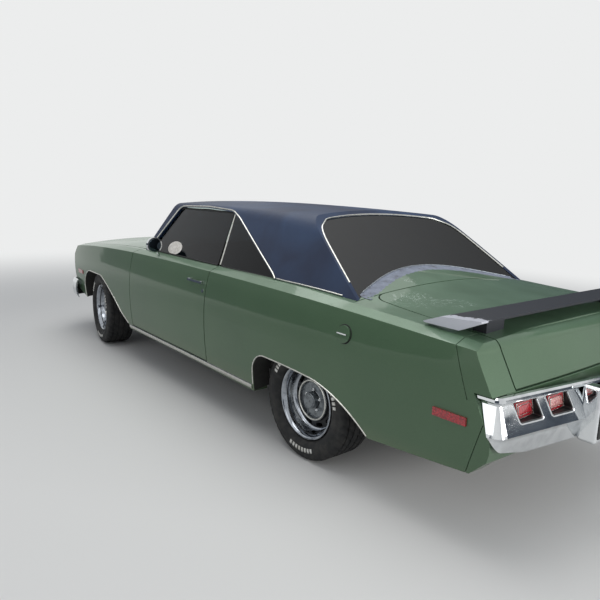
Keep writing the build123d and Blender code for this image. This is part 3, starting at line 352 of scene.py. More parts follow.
def weathered_skylit_enamel(name, scratched=()):
    """The green paint; scratched lists the middles and reaches, in metres, of patches scratched through."""
    paint, surface = new_material(
        name, Metallic=0.3, Roughness=0.4, Coat_Weight=0.55, Coat_Roughness=0.05, Coat_IOR=1.45
    )
    spot = coords(paint)
    green = ramp(paint, noise(paint, spot, 1.1, 4.0), [(0.3, "#3e5a3f"), (0.7, "#486447")])
    # Faces that look up are mixed towards a paler green in blotches: partly sun fade, partly painted light
    # from the sky above.
    upward = part_of(paint, coords(paint, "Normal"), "Z")
    top = mapped(paint, upward, 0.45, 1.0, to_high=0.75)
    sunfaded_and_skylit = mixed(paint, maths(paint, "MULTIPLY", top, noise(paint, spot, 5.0, 6.0)), green, "#78977d")
    glitter = mapped(paint, cells(paint, spot, flake_mm)["Color"], 0, 1, 0.9, 1.12)
    film = add_node(paint, "ShaderNodeVectorMath", {"operation": "SCALE"}, {0: sunfaded_and_skylit, "Scale": glitter})
    dust = mapped(paint, part_of(paint, spot, "Z"), 0.40, 0.27, to_high=0.22)
    colour = mixed(paint, dust, film.outputs[0], "#7d7b66")
    for middle, reach_m in scratched:
        reach = add_node(paint, "ShaderNodeVectorMath", {"operation": "DISTANCE", 1: middle}, {0: spot})
        near = mapped(paint, reach.outputs["Value"], reach_m, reach_m * 0.6)
        crazing = noise(paint, spot, 8.0, 5.0, Roughness=0.6, Distortion=1.9)
        line = maths(paint, "COMPARE", crazing, 0.5, 0.0045)
        outside = maths(paint, "GREATER_THAN", upward, 0.3)
        worn = maths(paint, "MULTIPLY", maths(paint, "MULTIPLY", near, line), outside)
        colour = mixed(paint, worn, colour, "#d3ded4")
    link(paint, colour, surface.inputs["Base Color"])
    folded = add_node(paint, "ShaderNodeBevel", {"samples": 6, "Radius": fold_mm / 1000})
    bumped(paint, surface, noise(paint, spot, 130.0, 2.0), 0.02, under=folded.outputs[0])
    return paint


enamel = weathered_skylit_enamel("green_metallic_enamel")
deck_scratches = [
    ((rx(-455), 0.49, 0.93), 0.16),
    ((rx(-590), 0.34, 0.93), 0.10),
    ((rx(-235), 0.26, 0.975), 0.07),
]
deck_enamel = weathered_skylit_enamel("green_enamel_scratched", scratched=deck_scratches)
print("flakes", flake_mm, "mm")

# %% [markdown]
# ## Grained vinyl for the roof and the seats
# The roof is covered with a coated fabric whose face was embossed with a leather grain. The grain's
# cells are about 2.5 mm wide and dull the shine, and the dye has bleached in streaks where water
# ran. Cells of a Voronoi pattern, rounded off, give the creases between the grains, and a large
# soft noise bleaches the dye.


# %% Vinyl
def grained_vinyl(name, dye, bleached, grain_mm, share=0.5):
    """Embossed coated fabric with dye that has bleached in clouds."""
    cover, surface = new_material(name, Roughness=0.5, Specular_IOR_Level=0.32)
    spot = coords(cover)
    clouds = noise(cover, spot, 2.2, 8.0, Distortion=0.6)
    colour = ramp(cover, clouds, [(share - 0.15, dye), (share + 0.2, bleached)])
    link(cover, colour, surface.inputs["Base Color"])
    bumped(cover, surface, cells(cover, spot, grain_mm, feature="SMOOTH_F1")["Distance"], 0.25, 0.0008)
    return cover


roof_grain_mm = 2.5
roof_vinyl = grained_vinyl("grained_roof_vinyl", "#1a2740", "#2c4160", roof_grain_mm, 0.55)
seat_vinyl = grained_vinyl("pleated_seat_vinyl", "#17191a", "#242627", 2.0)
print("vinyl grain", roof_grain_mm, "mm")

# %% [markdown]
# ## Bright metal, cast metal and sheet steel
# The bumpers are steel plated with nickel and chromium, which is a nearly perfect mirror with a few
# pits. The mouldings are polished stainless strip, a little darker and softer. The wheel centres
# are steel painted in a dark silver grey. A metal's look is its reflection, so each gets its colour
# and its roughness, and a fine noise that moves the roughness where dirt and wear sit.


# %% Metals
def metal(name, code, roughness, spread, grain_mm, metallic=1.0, dirt=None, bumps=0.0):
    """A metal or metallic paint whose roughness wanders by spread."""
    made, surface = new_material(name, Metallic=metallic)
    wear = noise(made, coords(made), 1000 / grain_mm, 6.0)
    rough = mapped(made, wear, 0.3, 0.7, roughness - spread, roughness + spread)
    link(made, rough, surface.inputs["Roughness"])
    link(made, ramp(made, wear, [(0.3, dirt or code), (0.55, code)]), surface.inputs["Base Color"])
    if bumps:
        bumped(made, surface, wear, bumps)
    return made


chrome = metal("chromium_plate", "#dfe2e4", 0.07, 0.03, 60, dirt="#c9cccf")
stainless = metal("polished_stainless", "#cfcfca", 0.18, 0.05, 20, dirt="#b5b4ad")
ring_steel = metal("polished_trim_ring_steel", "#a4a9b0", 0.13, 0.05, 25, dirt="#868b92")
wheel_grey = metal("dark_wheel_enamel", "#25272a", 0.42, 0.1, 30, metallic=0.4, dirt="#1a1b1d")
cast_iron = metal("cast_iron", "#3b3a38", 0.7, 0.12, 8, metallic=0.6, dirt="#2a2522", bumps=0.4)
sheet_steel = metal("oiled_steel", "#54514d", 0.5, 0.12, 25, metallic=0.8, dirt="#3d332b")
engine_blue = metal("engine_enamel", "#2f4a63", 0.45, 0.1, 40, metallic=0.1, dirt="#26282a", bumps=0.2)
undercoat = metal("stone_chip_undercoat", "#232423", 0.85, 0.08, 6, metallic=0.0, dirt="#2f2c28", bumps=0.7)
black_enamel = metal("satin_black_enamel", "#141516", 0.45, 0.08, 30, metallic=0.0, dirt="#1d1e1f")
print("metals made")

# %% [markdown]
# ## Rubber, moulded plastic, glass and lenses
# Tyre rubber is black with a grey bloom of dust. Inner trim is moulded ABS with a fine spark-eroded
# grain. The windows are tempered glass behind a dark tinted film, and the lamps are dyed acrylic
# with prisms moulded on the inside; the middle of each prism is painted brighter, a painted
# highlight for the light they send back. The wing is white plastic under a black film that has
# torn off its left end.

# %% Rubber and plastic
rubber = metal("tyre_rubber", "#1b1c1d", 0.78, 0.1, 45, metallic=0.0, dirt="#2b2a28", bumps=0.15)
seal_rubber = metal("seal_rubber", "#101112", 0.7, 0.08, 15, metallic=0.0)
moulded_abs = metal("moulded_abs", "#1a1c1d", 0.55, 0.06, 1.5, metallic=0.0, bumps=0.3)


def peeling_film(name, film, bare, from_y):
    """Black film over white plastic, peeled off outboard of a torn edge."""
    made, surface = new_material(name, Roughness=0.42)
    spot = coords(made)
    torn = noise(made, spot, 24.0, 8.0, Roughness=0.7)
    edge = maths(made, "MULTIPLY_ADD", torn, 0.2, part_of(made, spot, "Y"))
    peeled = mapped(made, edge, from_y + 0.099, from_y + 0.102)
    link(made, mixed(made, peeled, film, bare), surface.inputs["Base Color"])
    bumped(made, surface, peeled, 0.4)
    return made


film_edge = 0.71
wing_abs = peeling_film("black_film_on_white_plastic", "#202229", "#c6c7cf", film_edge)
print("film peels outboard of", film_edge, "m")


# %% Glass and lenses
bands_per_metre = 0.314 * 1000 / 6.283 * 2


def clear_material(name, code, roughness=0.02, ior=1.5, ribs_mm=0, warp=0.0, gleam="#ffffff"):
    """A see-through material with moulded ribs or the waves of an old film."""
    made, surface = new_material(
        name,
        Base_Color=linear(code),
        Roughness=roughness,
        IOR=ior,
        Transmission_Weight=1.0,
        Specular_Tint=linear(gleam),
    )
    spot = coords(made)
    if ribs_mm:
        settings = {"Scale": bands_per_metre / ribs_mm, "bands_direction": "Z"}
        ribs = add_node(made, "ShaderNodeTexWave", settings, {"Vector": spot})
        bumped(made, surface, ribs.outputs["Fac"], 0.5, 0.002)
    if warp:
        bumped(made, surface, noise(made, spot, 3.0, 1.0), warp, 0.01)
    return made


screen_glass = clear_material("clear_safety_glass", "#c9d8d2")
tinted_glass = clear_material("tinted_glass_and_film", "#12161b", warp=0.05, gleam="#46505f")
clear_lens = clear_material("clear_acrylic", "#eceeee", 0.04, 1.49, ribs_mm=10)
prism_mm = 7


def dyed_acrylic_with_painted_glints(name, code, deep):
    """A dyed lens over moulded prisms, each prism painted bright in its middle as a painted highlight and
    deeper at its edge.
    """
    made, surface = new_material(
        name, Roughness=0.16, IOR=1.49, Coat_Weight=0.9, Coat_Roughness=0.03, Subsurface_Weight=0.15
    )
    surface.inputs["Subsurface Radius"].default_value = (0.004, 0.001, 0.001)
    # Each prism cell is painted bright in its middle and deep at its edge: a painted highlight over the
    # dye.
    prisms = cells(made, coords(made), prism_mm)["Distance"]
    link(made, ramp(made, prisms, [(0.1, code), (0.75, deep)]), surface.inputs["Base Color"])
    bumped(made, surface, prisms, 0.3)
    return made


red_lens = dyed_acrylic_with_painted_glints("red_acrylic", "#c42531", "#7d0f18")
bright_red_lens = dyed_acrylic_with_painted_glints("bright_red_acrylic", "#cc3742", "#8a1820")
backup_lens = dyed_acrylic_with_painted_glints("clear_over_pink_acrylic", "#e6b9b0", "#a9595a")
# The mirror's glass is given a dark grey colour: a painted dark reflection, where silvered glass is bright.
mirror_with_painted_dark_reflection = metal("mirror_with_painted_dark_reflection", "#3a444c", 0.04, 0.01, 40)
print("glass IOR 1.5, acrylic IOR 1.49")

# %% [markdown]
# ## Dressing the CAD nodes
# Each node keeps its exact shape, with the shading that the CAD model gives it, and gets the
# material listed for it below; tyres and rims go by their names. Every panel that is not in the
# list is painted green.

# %% Materials by node
dressing = [
    (roof_vinyl, "roof"),
    (undercoat, "boot_floor wheel_housings floor_pan"),
    (black_enamel, "lamp_housings lid_hinges frame_rails radiator front_suspension grille"),
    (chrome, "left_door_handle right_door_handle front_bumper rear_bumper headlamps door_mirror"),
    (deck_enamel, "deck_lid rear_deck_panel"),
    (screen_glass, "windshield"),
    (tinted_glass, "backlight left_door_glass right_door_glass quarter_glass"),
    (engine_blue, "engine"),
    (sheet_steel, "driveshaft leaf_springs exhaust fuel_tank"),
    (cast_iron, "rear_axle left_knuckle right_knuckle"),
    (red_lens, "tail_lamps marker_lamps"),
    (wing_abs, "rear_wing"),
    (seat_vinyl, "front_seat rear_seat"),
    (moulded_abs, "dashboard steering_wheel parcel_shelf"),
]
finishes = {name: finish for finish, names in dressing for name in names.split()}
for name, piece in nodes.items():
    if name.endswith("_tyre"):
        finish = rubber
    elif name.endswith("_rim"):
        finish = wheel_grey
    else:
        finish = finishes.get(name, enamel)
    piece.data.materials.clear()
    piece.data.materials.append(finish)
print(len(nodes), "nodes dressed")


# %% [markdown]
# ## Helpers for pieces
# Mouldings, rings and tread are all one of two shapes: a section carried along a line, or a section
# spun round an axle. Blender's curve bevel could carry a section, but it twists it freely, while a
# bright strip has to lie flat on its panel, so the sweep below takes the panel's own direction at
# each point. To find the panel, a ray is sent at the CAD surface, as a fitter would press the strip
# on.


# %% Making a piece
def add_piece(name, verts, faces, finish, body, slot, sharp=35):
    """A mesh piece with its faces turned outward, shaded smooth up to an angle, riding on a body."""
    mesh = bpy.data.meshes.new(name)
    mesh.from_pydata([tuple(v) for v in verts], [], [tuple(f) for f in faces])
    work = bmesh.new()
    work.from_mesh(mesh)
    bmesh.ops.recalc_face_normals(work, faces=work.faces)
    work.to_mesh(mesh)
    work.free()
    mesh.polygons.foreach_set("use_smooth", [True] * len(mesh.polygons))
    mesh.set_sharp_from_angle(angle=math.radians(sharp))
    mesh.materials.append(finish)
    piece = bpy.data.objects.new(name, mesh)
    bpy.context.scene.collection.objects.link(piece)
    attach(piece, body)
    return piece


both_roots = ("root", "root")
both_doors = ("left_door", "right_door")


def on_both_sides(name, verts, faces, finish, slot, bodies=both_roots):
    """The same piece on the left and, mirrored, on the right."""
    add_piece("left_" + name, verts, faces, finish, bodies[0], slot)
    mirrored = [(x, -y, z) for x, y, z in verts]
    add_piece("right_" + name, mirrored, [tuple(reversed(f)) for f in faces], finish, bodies[1], slot)


def joined(*shapes):
    """Several lists of verts and faces as one."""
    verts, faces = [], []
    for more_verts, more_faces in shapes:
        first = len(verts)
        verts += [Vector(v) for v in more_verts]
        faces += [tuple(first + i for i in f) for f in more_faces]
    return verts, faces


# %% Sections along a line and round an axle
def bead(width, height, sunk=0.0006, steps=6):
    """The section of a half-round strip: (across, out), with its foot just under the panel's face."""
    turns = [math.pi * i / steps for i in range(steps + 1)]
    half_round = [(width / 2 * math.cos(a), height * math.sin(a)) for a in turns]
    return half_round + [(-width / 2, -sunk), (width / 2, -sunk)]


def sweep(path, outward, section, closed=False):
    """A section carried along a path whose face looks outward."""
    verts, faces = [], []
    size, last = len(section), len(path) - 1
    for i, (point, out) in enumerate(zip(path, outward)):
        before = path[i - 1] if i or closed else path[0]
        after = path[(i + 1) % len(path)] if i < last or closed else path[last]
        along = (after - before).normalized()
        across = along.cross(out).normalized()
        out = across.cross(along)
        verts += [point + across * a + out * b for a, b in section]
    for i in range(len(path) if closed else last):
        a, b = i * size, (i + 1) % len(path) * size
        faces += [(a + k, a + (k + 1) % size, b + (k + 1) % size, b + k) for k in range(size)]
    if not closed:
        faces += [tuple(range(size)), tuple(range(last * size, (last + 1) * size))]
    return verts, faces


def spun(section, steps=96, closed=False):
    """A section of (radius, along the axle) spun round the Y axis; a radius of 0 closes the shape there."""
    verts, faces, rings = [], [], []
    for radius, along in section:
        first = len(verts)
        if radius < 1e-6:
            verts.append(Vector((0, along, 0)))
            rings.append([first] * steps)
            continue
        for i in range(steps):
            a = math.tau * i / steps
            verts.append(Vector((radius * math.cos(a), along, radius * math.sin(a))))
        rings.append(list(range(first, first + steps)))
    pairs = list(zip(rings, rings[1:])) + ([(rings[-1], rings[0])] if closed else [])
    for one, two in pairs:
        for i in range(steps):
            n = (i + 1) % steps
            corners = [one[i], one[n], two[n], two[i]]
            faces.append(tuple(dict.fromkeys(corners)))
    return verts, [f for f in faces if len(f) > 2]


def arc_points(a, b, c, steps):
    """Points of the arc that starts at a, passes b and ends at c, in a plane."""
    (ax, ay), (bx, by), (cx, cy) = a, b, c
    d = 2 * (ax * (by - cy) + bx * (cy - ay) + cx * (ay - by))
    a2, b2, c2 = ax * ax + ay * ay, bx * bx + by * by, cx * cx + cy * cy
    mx = (a2 * (by - cy) + b2 * (cy - ay) + c2 * (ay - by)) / d
    my = (a2 * (cx - bx) + b2 * (ax - cx) + c2 * (bx - ax)) / d
    start, middle, end = (math.atan2(y - my, x - mx) for x, y in (a, b, c))
    turn = (end - start) % math.tau
    if (middle - start) % math.tau > turn:
        turn -= math.tau
    radius = math.hypot(ax - mx, ay - my)
    angles = [start + turn * i / steps for i in range(steps + 1)]
    return [(mx + radius * math.cos(angle), my + radius * math.sin(angle)) for angle in angles]


print("a bead section has", len(bead(0.01, 0.004)), "points")

# %% Lines laid on the panels
from_left, from_behind = 1.4, -3.2
inward, ahead, downward = Vector((0, -1, 0)), Vector((1, 0, 0)), Vector((0, 0, -1))
backward, left_way, high_way = -ahead, -inward, -downward


def skin_of(*names):
    """The faces of some CAD nodes, ready for rays."""
    verts, faces = [], []
    for name in names:
        mesh, first = nodes[name].data, len(verts)
        verts += [v.co.copy() for v in mesh.vertices]
        faces += [[first + i for i in polygon.vertices] for polygon in mesh.polygons]
    return BVHTree.FromPolygons(verts, faces)


def hit(tree, start, way):
    """Where a ray first meets a skin, and that face's direction, turned against the ray."""
    place, facing, _, _ = tree.ray_cast(Vector(start), way)
    if place and facing.dot(way) > 0:
        facing = -facing
    return place, facing


def even_line(points, step=0.012, rounds=0):
    """A polyline at even steps, with its corners eased by some rounds of averaging."""
    points = [Vector(p) for p in points]
    line = [points[0]]
    for a, b in zip(points, points[1:]):
        count = max(1, round((b - a).length / step))
        line += [a.lerp(b, i / count) for i in range(1, count + 1)]
    for _ in range(rounds):
        middle = [(line[i - 1] + line[i] * 2 + line[i + 1]) / 4 for i in range(1, len(line) - 1)]
        line = [line[0]] + middle + [line[-1]]
    return line


def beside(line, distance, centre):
    """A flat line moved sideways by a distance, away from a centre point."""
    moved = []
    for i, point in enumerate(line):
        along = (line[min(i + 1, len(line) - 1)] - line[max(i - 1, 0)]).normalized()
        across = Vector((-along[1], along[0]))
        if across.dot(point - Vector(centre)) < 0:
            across = -across
        moved.append(point + across * distance)
    return moved


def laid_on(tree, line):
    """A side-view line (x, z) pressed on the left side: its points and the panel's directions."""
    hits = [hit(tree, (x, from_left, z), inward) for x, z in line]
    hits = [(place, facing) for place, facing in hits if place and place.y >= 0.3]
    return [place for place, _ in hits], [facing for _, facing in hits]


def laid_behind(tree, line):
    """A line (y, z) pressed on the car from behind, in the same form."""
    hits = [hit(tree, (from_behind, y, z), ahead) for y, z in line]
    hits = [(place, facing) for place, facing in hits if place]
    return [place for place, _ in hits], [facing for _, facing in hits]


def moulding(name, tree, line, section, finish=None, slot="chrome", bodies=both_roots):
    """A strip pressed along a line on both sides of the car; returns its points."""
    path, outward = laid_on(tree, line)
    on_both_sides(name, *sweep(path, outward, section), finish or stainless, slot, bodies)
    return path


left_side = skin_of("left_fender", "left_door", "left_quarter_panel", "quarter_caps", "sills")
roof_skin = skin_of("roof")
print("left side at the door", round(hit(left_side, (0, from_left, 0.7), inward)[0].y, 4))

# %% [markdown]
# ## Tyres
# A tyre is moulded rubber: smooth bulging sidewalls with a few raised rings, and a tread cut by
# grooves that run round it and by cross grooves that make blocks. The whole section, with its long
# grooves, is spun round the axle, and then the points of every sixth step of the tread are pressed
# in to make the cross grooves. The raised white marks on the sidewall are plain blocks.

# %% The tyre's section
half_tyre = tyre_width / 2
sidewall = arc_points((0.211, 0.081), (0.2485, half_tyre), (0.286, half_tyre - 0.004), 16)
shoulder = arc_points((0.286, half_tyre - 0.004), (tyre_radius - 0.009, 0.1055), (tyre_radius, 0.0875), 7)
long_grooves = [0.066, 0.023, -0.023, -0.066]
groove_half, groove_depth = 0.0045, 0.008
raised_rings, ring_height = (2, 3, 13), 0.0011


def tyre_section():
    """(radius, along the axle) from the outer bead across the tread to the inner bead."""
    outer = [(0.1985, 0.078), (0.2095, 0.0795)]
    for i, (radius, along) in enumerate(sidewall):
        outer.append((radius, along + (ring_height if i in raised_rings else 0)))
    outer += shoulder[1:]
    tread = []
    for middle in long_grooves:
        for aside, depth in (
            (0.012, 0),
            (groove_half, 0),
            (groove_half * 0.6, groove_depth),
            (-groove_half * 0.6, groove_depth),
            (-groove_half, 0),
            (-0.012, 0),
        ):
            tread.append((tyre_radius - depth, middle + aside))
    inner = [(radius, -along) for radius, along in reversed(outer)]
    return outer + tread + inner + [(0.1985, -0.078)]


section = tyre_section()
print(len(section), "points in the tyre's section")

# %% Tread blocks
tread_steps = 240
cross_depth = 0.006
tread_starts, middle_rib, slant_pitch = 0.292, 0.012, 0.011
steps_per_block = 6
block_low, block_high, block_proud = 0.249, 0.272, 0.0012
block_groups = ((38, 5), (-92, 8), (158, 5))
block_pitch = 5.4


def tyre_shape():
    """The tyre about its own middle, with its axle along Y."""
    verts, faces = spun(section, tread_steps)
    for index, point in enumerate(verts):
        ring, step = divmod(index, tread_steps)
        radius, along = section[ring]
        if radius < tread_starts or abs(along) < middle_rib:
            continue
        slant = round(along / slant_pitch)
        if (step + slant) % steps_per_block == 0:
            point.x *= (radius - cross_depth) / radius
            point.z *= (radius - cross_depth) / radius
    return verts, faces


def side_at(radius):
    """How far out the sidewall stands at a radius."""
    for (r0, a0), (r1, a1) in zip(sidewall, sidewall[1:]):
        if r0 <= radius <= r1:
            return a0 + (a1 - a0) * (radius - r0) / (r1 - r0)
    return sidewall[-1][1]


def white_block(centre):
    """One plain raised block on the outer sidewall, at an angle round the wheel."""
    half = math.radians(1.7)
    grid = []
    for lift in (block_proud, -0.0006):
        for radius in (block_low, (block_low + block_high) / 2, block_high):
            for a in (centre - half, centre, centre + half):
                grid.append((radius * math.cos(a), side_at(radius) + lift, radius * math.sin(a)))
    edge = [0, 1, 2, 5, 8, 7, 6, 3]
    faces = grid_faces(2, 2)
    faces += [(a, b, b + 9, a + 9) for a, b in zip(edge, edge[1:] + edge[:1])]
    return grid, faces


tyre_verts, tyre_faces = tyre_shape()
block_angles = []
for middle, count in block_groups:
    block_angles += [middle + (i - (count - 1) / 2) * block_pitch for i in range(count)]
block_verts, block_faces = joined(*[white_block(math.radians(angle)) for angle in block_angles])
print("tyre faces", len(tyre_faces), "and white blocks", len(block_faces) // 12)

# %% [markdown]
# ## Rims
# This is the sporting steel wheel of its day: a dark disc with round-ended slots, a silver centre
# with a raised bright ring, five chromed acorn nuts on a 114.3 mm circle, and a polished trim ring
# that snaps over the rim's edge. The CAD node is the steel wheel itself, and the trim ring and the
# centre are thin stampings laid over it, which are spun like the tyre.

# %% Trim ring, centre and nuts
nut_circle = 0.1143
nut_flats = 0.019
trim_section = [
    (0.2064, 0.086), (0.2074, 0.092), (0.2062, 0.0965), (0.2025, 0.0984), (0.1975, 0.0972), (0.192, 0.0905),
    (0.186, 0.078), (0.1803, 0.064), (0.1765, 0.05), (0.172, 0.037), (0.1665, 0.0275), (0.161, 0.0226),
    (0.1585, 0.0216), (0.1578, 0.0203),
]
trim_back = [(radius + 0.0004, along - 0.0009) for radius, along in reversed(trim_section[:-1])]
centre_ring_section = [
    (0.1150, 0.0395), (0.1132, 0.0452), (0.1116, 0.0474), (0.1095, 0.0482), (0.1065, 0.0482),
    (0.1042, 0.0472), (0.1030, 0.0452), (0.1020, 0.0415),
]
ring_back = [(radius - 0.0004, along - 0.0012) for radius, along in reversed(centre_ring_section)]
centre_section = [
    (0.1024, 0.0430), (0.0990, 0.0285), (0.0970, 0.0257), (0.0935, 0.0248), (0.0700, 0.0248),
    (0.0480, 0.0252), (0.0452, 0.0272), (0.0436, 0.0600), (0.0425, 0.0630), (0.0402, 0.0638),
    (0.0389, 0.0650), (0.0387, 0.0688), (0.0372, 0.0706), (0.034, 0.0712), (0.031, 0.0704), (0.0, 0.0700),
]
nut_rings = [
    (0.0256, 1.0, True), (0.0375, 1.0, True), (0.0395, 0.94, True), (0.0405, 0.80, False),
    (0.0440, 0.62, False), (0.0465, 0.36, False),
]


def acorn_nut(angle, steps=24):
    """A chromed acorn nut."""
    verts = []
    for along, scale, hexagonal in nut_rings:
        for i in range(steps):
            a = math.tau * i / steps
            flat = math.cos((a % (math.pi / 3)) - math.pi / 6)
            radius = nut_flats / 2 * scale / (flat if hexagonal else 1)
            verts.append(Vector((radius * math.cos(a), along, radius * math.sin(a))))
    verts.append(Vector((0, 0.0475, 0)))
    top = (len(nut_rings) - 1) * steps
    faces = ring_faces(len(nut_rings), steps)
    faces += [(top + i, top + (i + 1) % steps, len(verts) - 1) for i in range(steps)]
    shift = Vector((nut_circle / 2 * math.cos(angle), 0, nut_circle / 2 * math.sin(angle)))
    return [v + shift for v in verts], faces


nut_verts, nut_faces = joined(*[acorn_nut(math.radians(90 + 72 * i)) for i in range(5)])
print("five nuts,", len(nut_faces), "faces")

# %% Fitting the four wheels
tyre_white = metal("white_sidewall_rubber", "#d9d8d2", 0.6, 0.08, 20, metallic=0.0, dirt="#bdbab0")
wheel_silver = metal("silver_wheel_enamel", "#84898d", 0.3, 0.08, 25, metallic=0.85, dirt="#666b6f")
joints = {joint["name"]: joint for joint in frame["record"]["behaviour"]["joints"]}

for end in ("front", "rear"):
    for side, outward_sign in (("left", 1), ("right", -1)):
        wheel = f"{end}_{side}"
        joint = joints[f"{wheel}_spin"]
        axle = Vector(joint["axis"]).normalized() * outward_sign
        turn = Matrix((axle.cross(high_way), axle, high_way)).transposed().to_4x4()
        place = Matrix.Translation(Vector(joint["pos_m"])) @ turn
        pieces = [
            ("tyre_with_tread", tyre_verts, tyre_faces, rubber, "rubber_tyre", 40),
            ("tyre_blocks", block_verts, block_faces, tyre_white, "rubber_tyre", 30),
            ("trim_ring", *spun(trim_section + trim_back, 96, True), ring_steel, "chrome", 40),
            ("centre_ring", *spun(centre_ring_section + ring_back, 72, True), stainless, "chrome", 40),
            ("wheel_centre", *spun(centre_section, 72), wheel_silver, "wheel_steel", 40),
            ("lug_nuts", nut_verts, nut_faces, chrome, "chrome", 25),
        ]
        for kind, verts, faces, finish, slot, sharp in pieces:
            moved = [place @ Vector(v) for v in verts]
            piece = add_piece(f"{wheel}_{kind}", moved, faces, finish, f"{wheel}_wheel", slot, sharp)
            if kind == "tyre_with_tread":
                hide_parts(f"{wheel}_tyre")
print("wheels fitted")

# %% [markdown]
# ## Bright mouldings
# Thin strips of stainless steel are clipped along the roof's gutter, the foot of the sail, the
# wheel openings and the sills. Their sections are between 8 and 31 mm wide. The lines come from the
# panel edges in side view and are then pressed on the CAD panels from outside.

# %% Wheel openings and sills
front_opening = (
    [(fx(374), 0.300), (fx(376), 0.420)]
    + arc_points((fx(376), 0.420), (fx(330), 0.570), (fx(200), 0.628), 14)[1:]
    + [(fx(-90), 0.628)]
    + arc_points((fx(-90), 0.628), (fx(-326), 0.512), (fx(-509), 0.380), 16)[1:]
    + [(fx(-640), 0.309)]
)
rear_opening = (
    [(rx(398), 0.316), (rx(394), 0.400)]
    + arc_points((rx(394), 0.400), (rx(358), 0.482), (rx(260), 0.511), 12)[1:]
    + arc_points((rx(260), 0.511), (rx(60), 0.508), (rx(-130), 0.498), 10)[1:]
    + arc_points((rx(-130), 0.498), (rx(-345), 0.430), (rx(-530), 0.300), 14)[1:]
)
front_middle, rear_middle = (fx(-60), 0.2), (rx(0), 0.2)
for name, outline, centre in (
    ("front_opening_moulding", front_opening, front_middle),
    ("rear_opening_moulding", rear_opening, rear_middle),
):
    line = beside(even_line(outline, 0.015, 2), 0.0045, centre)
    path = moulding(name, left_side, line, bead(0.0085, 0.0045))
    print(name, round(sum((b - a).length for a, b in zip(path, path[1:])), 2), "m long")

sill_section = [
    (0.0155, -0.0006), (0.0150, 0.0022), (0.0120, 0.0044), (0.0060, 0.0056), (0.0, 0.0058),
    (-0.0060, 0.0052), (-0.0110, 0.0036), (-0.0150, 0.0012), (-0.0155, -0.0006),
]
sill_height = 0.2965
sill_line = even_line([(fx(-668), sill_height), (rx(414), sill_height)], 0.04)
moulding("sill_moulding", left_side, sill_line, sill_section)

# %% Gutter along the roof
window_top = 1.288
roof_middle = (rx(1000), 1.1)
gutter_corners = [
    (fx(-868), 0.925),
    (fx(-1095), window_top - 0.012),
    (rx(1359), window_top + 0.002),
    (rx(1020), window_top - 0.008),
    (rx(925), window_top - 0.042),
    (rx(352), 0.952),
    (rx(330), 0.930),
]
gutter_line = even_line(gutter_corners, 0.012, 9)
lip_line = beside(gutter_line, 0.0085, roof_middle)
path = moulding("gutter_moulding", roof_skin, lip_line, bead(0.0105, 0.0075))
print("gutter", len(path), "points")


# %% Foot of the sail
def sail_foot(x):
    """The lowest place at x where the roof is the outermost skin on the left."""
    for i in range(120):
        z = 0.90 + i * 0.0015
        roof, body = (hit(skin, (x, from_left, z), inward)[0] for skin in (roof_skin, left_side))
        if roof and (body is None or roof.y > body.y):
            return z
    return None


foot_line = [(x, sail_foot(x)) for x in [rx(318 - 14 * i) for i in range(38)]]
foot_line = [Vector((x, z + 0.005)) for x, z in foot_line if z]
path = moulding("belt_moulding", roof_skin, even_line(foot_line, 0.02, 3), bead(0.0095, 0.006))
print("belt moulding from", [round(v, 3) for v in path[0]], "to", [round(v, 3) for v in path[-1]])

# %% [markdown]
# ## Mouldings round the back window and the side glass
# The back window is set in rubber and framed by a bright strip that shows most on the two slanting
# sides. To find the edge of the glass, rays are sent forward from behind the car: where they stop
# meeting the pane and start meeting the roof is the edge.

# %% Back window frame
pane_skin = skin_of("backlight")
frame_gap = 0.0055


def past_pane(y, z):
    """Whether a ray from behind passes the back window and meets the roof."""
    roof, pane = (hit(skin, (from_behind, y, z), ahead)[0] for skin in (roof_skin, pane_skin))
    return roof is not None and (pane is None or pane.x >= roof.x)


def first_past(places):
    """The first of some (y, z) places that is past the pane."""
    return next(((y, z) for y, z in places if past_pane(y, z)), None)


sides = [first_past([(0.40 + k * 0.0016, 0.994 + i * 0.0112) for k in range(200)]) for i in range(24)]
tops = [first_past([(0.50 - i * 0.0454, 1.16 + k * 0.0012) for k in range(200)]) for i in range(12)]
side_points = [(p[0] + frame_gap, p[1]) for p in sides if p]
top_points = [(p[0], p[1] + frame_gap) for p in tops if p]
half_frame = [p for p in side_points if p[1] < top_points[0][1] - 0.03] + top_points
whole_frame = half_frame + [(-y, z) for y, z in reversed(half_frame[:-1])]
path, outward = laid_behind(roof_skin, even_line(whole_frame, 0.02, 4))
add_piece("backlight_moulding", *sweep(path, outward, bead(0.0125, 0.006)), stainless, "root", "chrome")
print("frame from", [round(v, 3) for v in path[0]], "over", [round(v, 3) for v in path[len(path) // 2]])

# %% Strip between door glass and quarter glass
quarter_verts = [v.co for v in nodes["quarter_glass"].data.vertices if v.co.y > 0]
strip_low = max((v for v in quarter_verts if v.z < 0.98), key=lambda v: v.x)
strip_high = max((v for v in quarter_verts if v.z > 1.15), key=lambda v: v.x)
quarter_pane = skin_of("quarter_glass")
strip_ends = [(strip_high.x - 0.009, strip_high.z - 0.006), (strip_low.x - 0.009, max(strip_low.z, 0.935))]
path = moulding("quarter_glass_strip", quarter_pane, even_line(strip_ends, 0.03), bead(0.013, 0.003))
print("strip", [round(v, 3) for v in path[0]], [round(v, 3) for v in path[-1]])

# %% [markdown]
# ## Tail lamps
# Each lens is red acrylic moulded with prisms, deep in a dark housing, and a thin bright frame is
# let into its face. The inner lamps have a clear window inside that frame for reversing. The lens
# face is a grid stretched between the four corners of the housing, with a soft dome and shallow
# upright flutes. A rolled bright edge goes round each opening of the bumper.

# %% Lens faces and frames
lamp_spans = [(0.394, 0.552), (0.586, 0.742)]
lamp_low, lamp_high, lamp_slant = 0.594, 0.678, 0.022
lens_face_x = [rx(-1190.8), rx(-1160.8)]


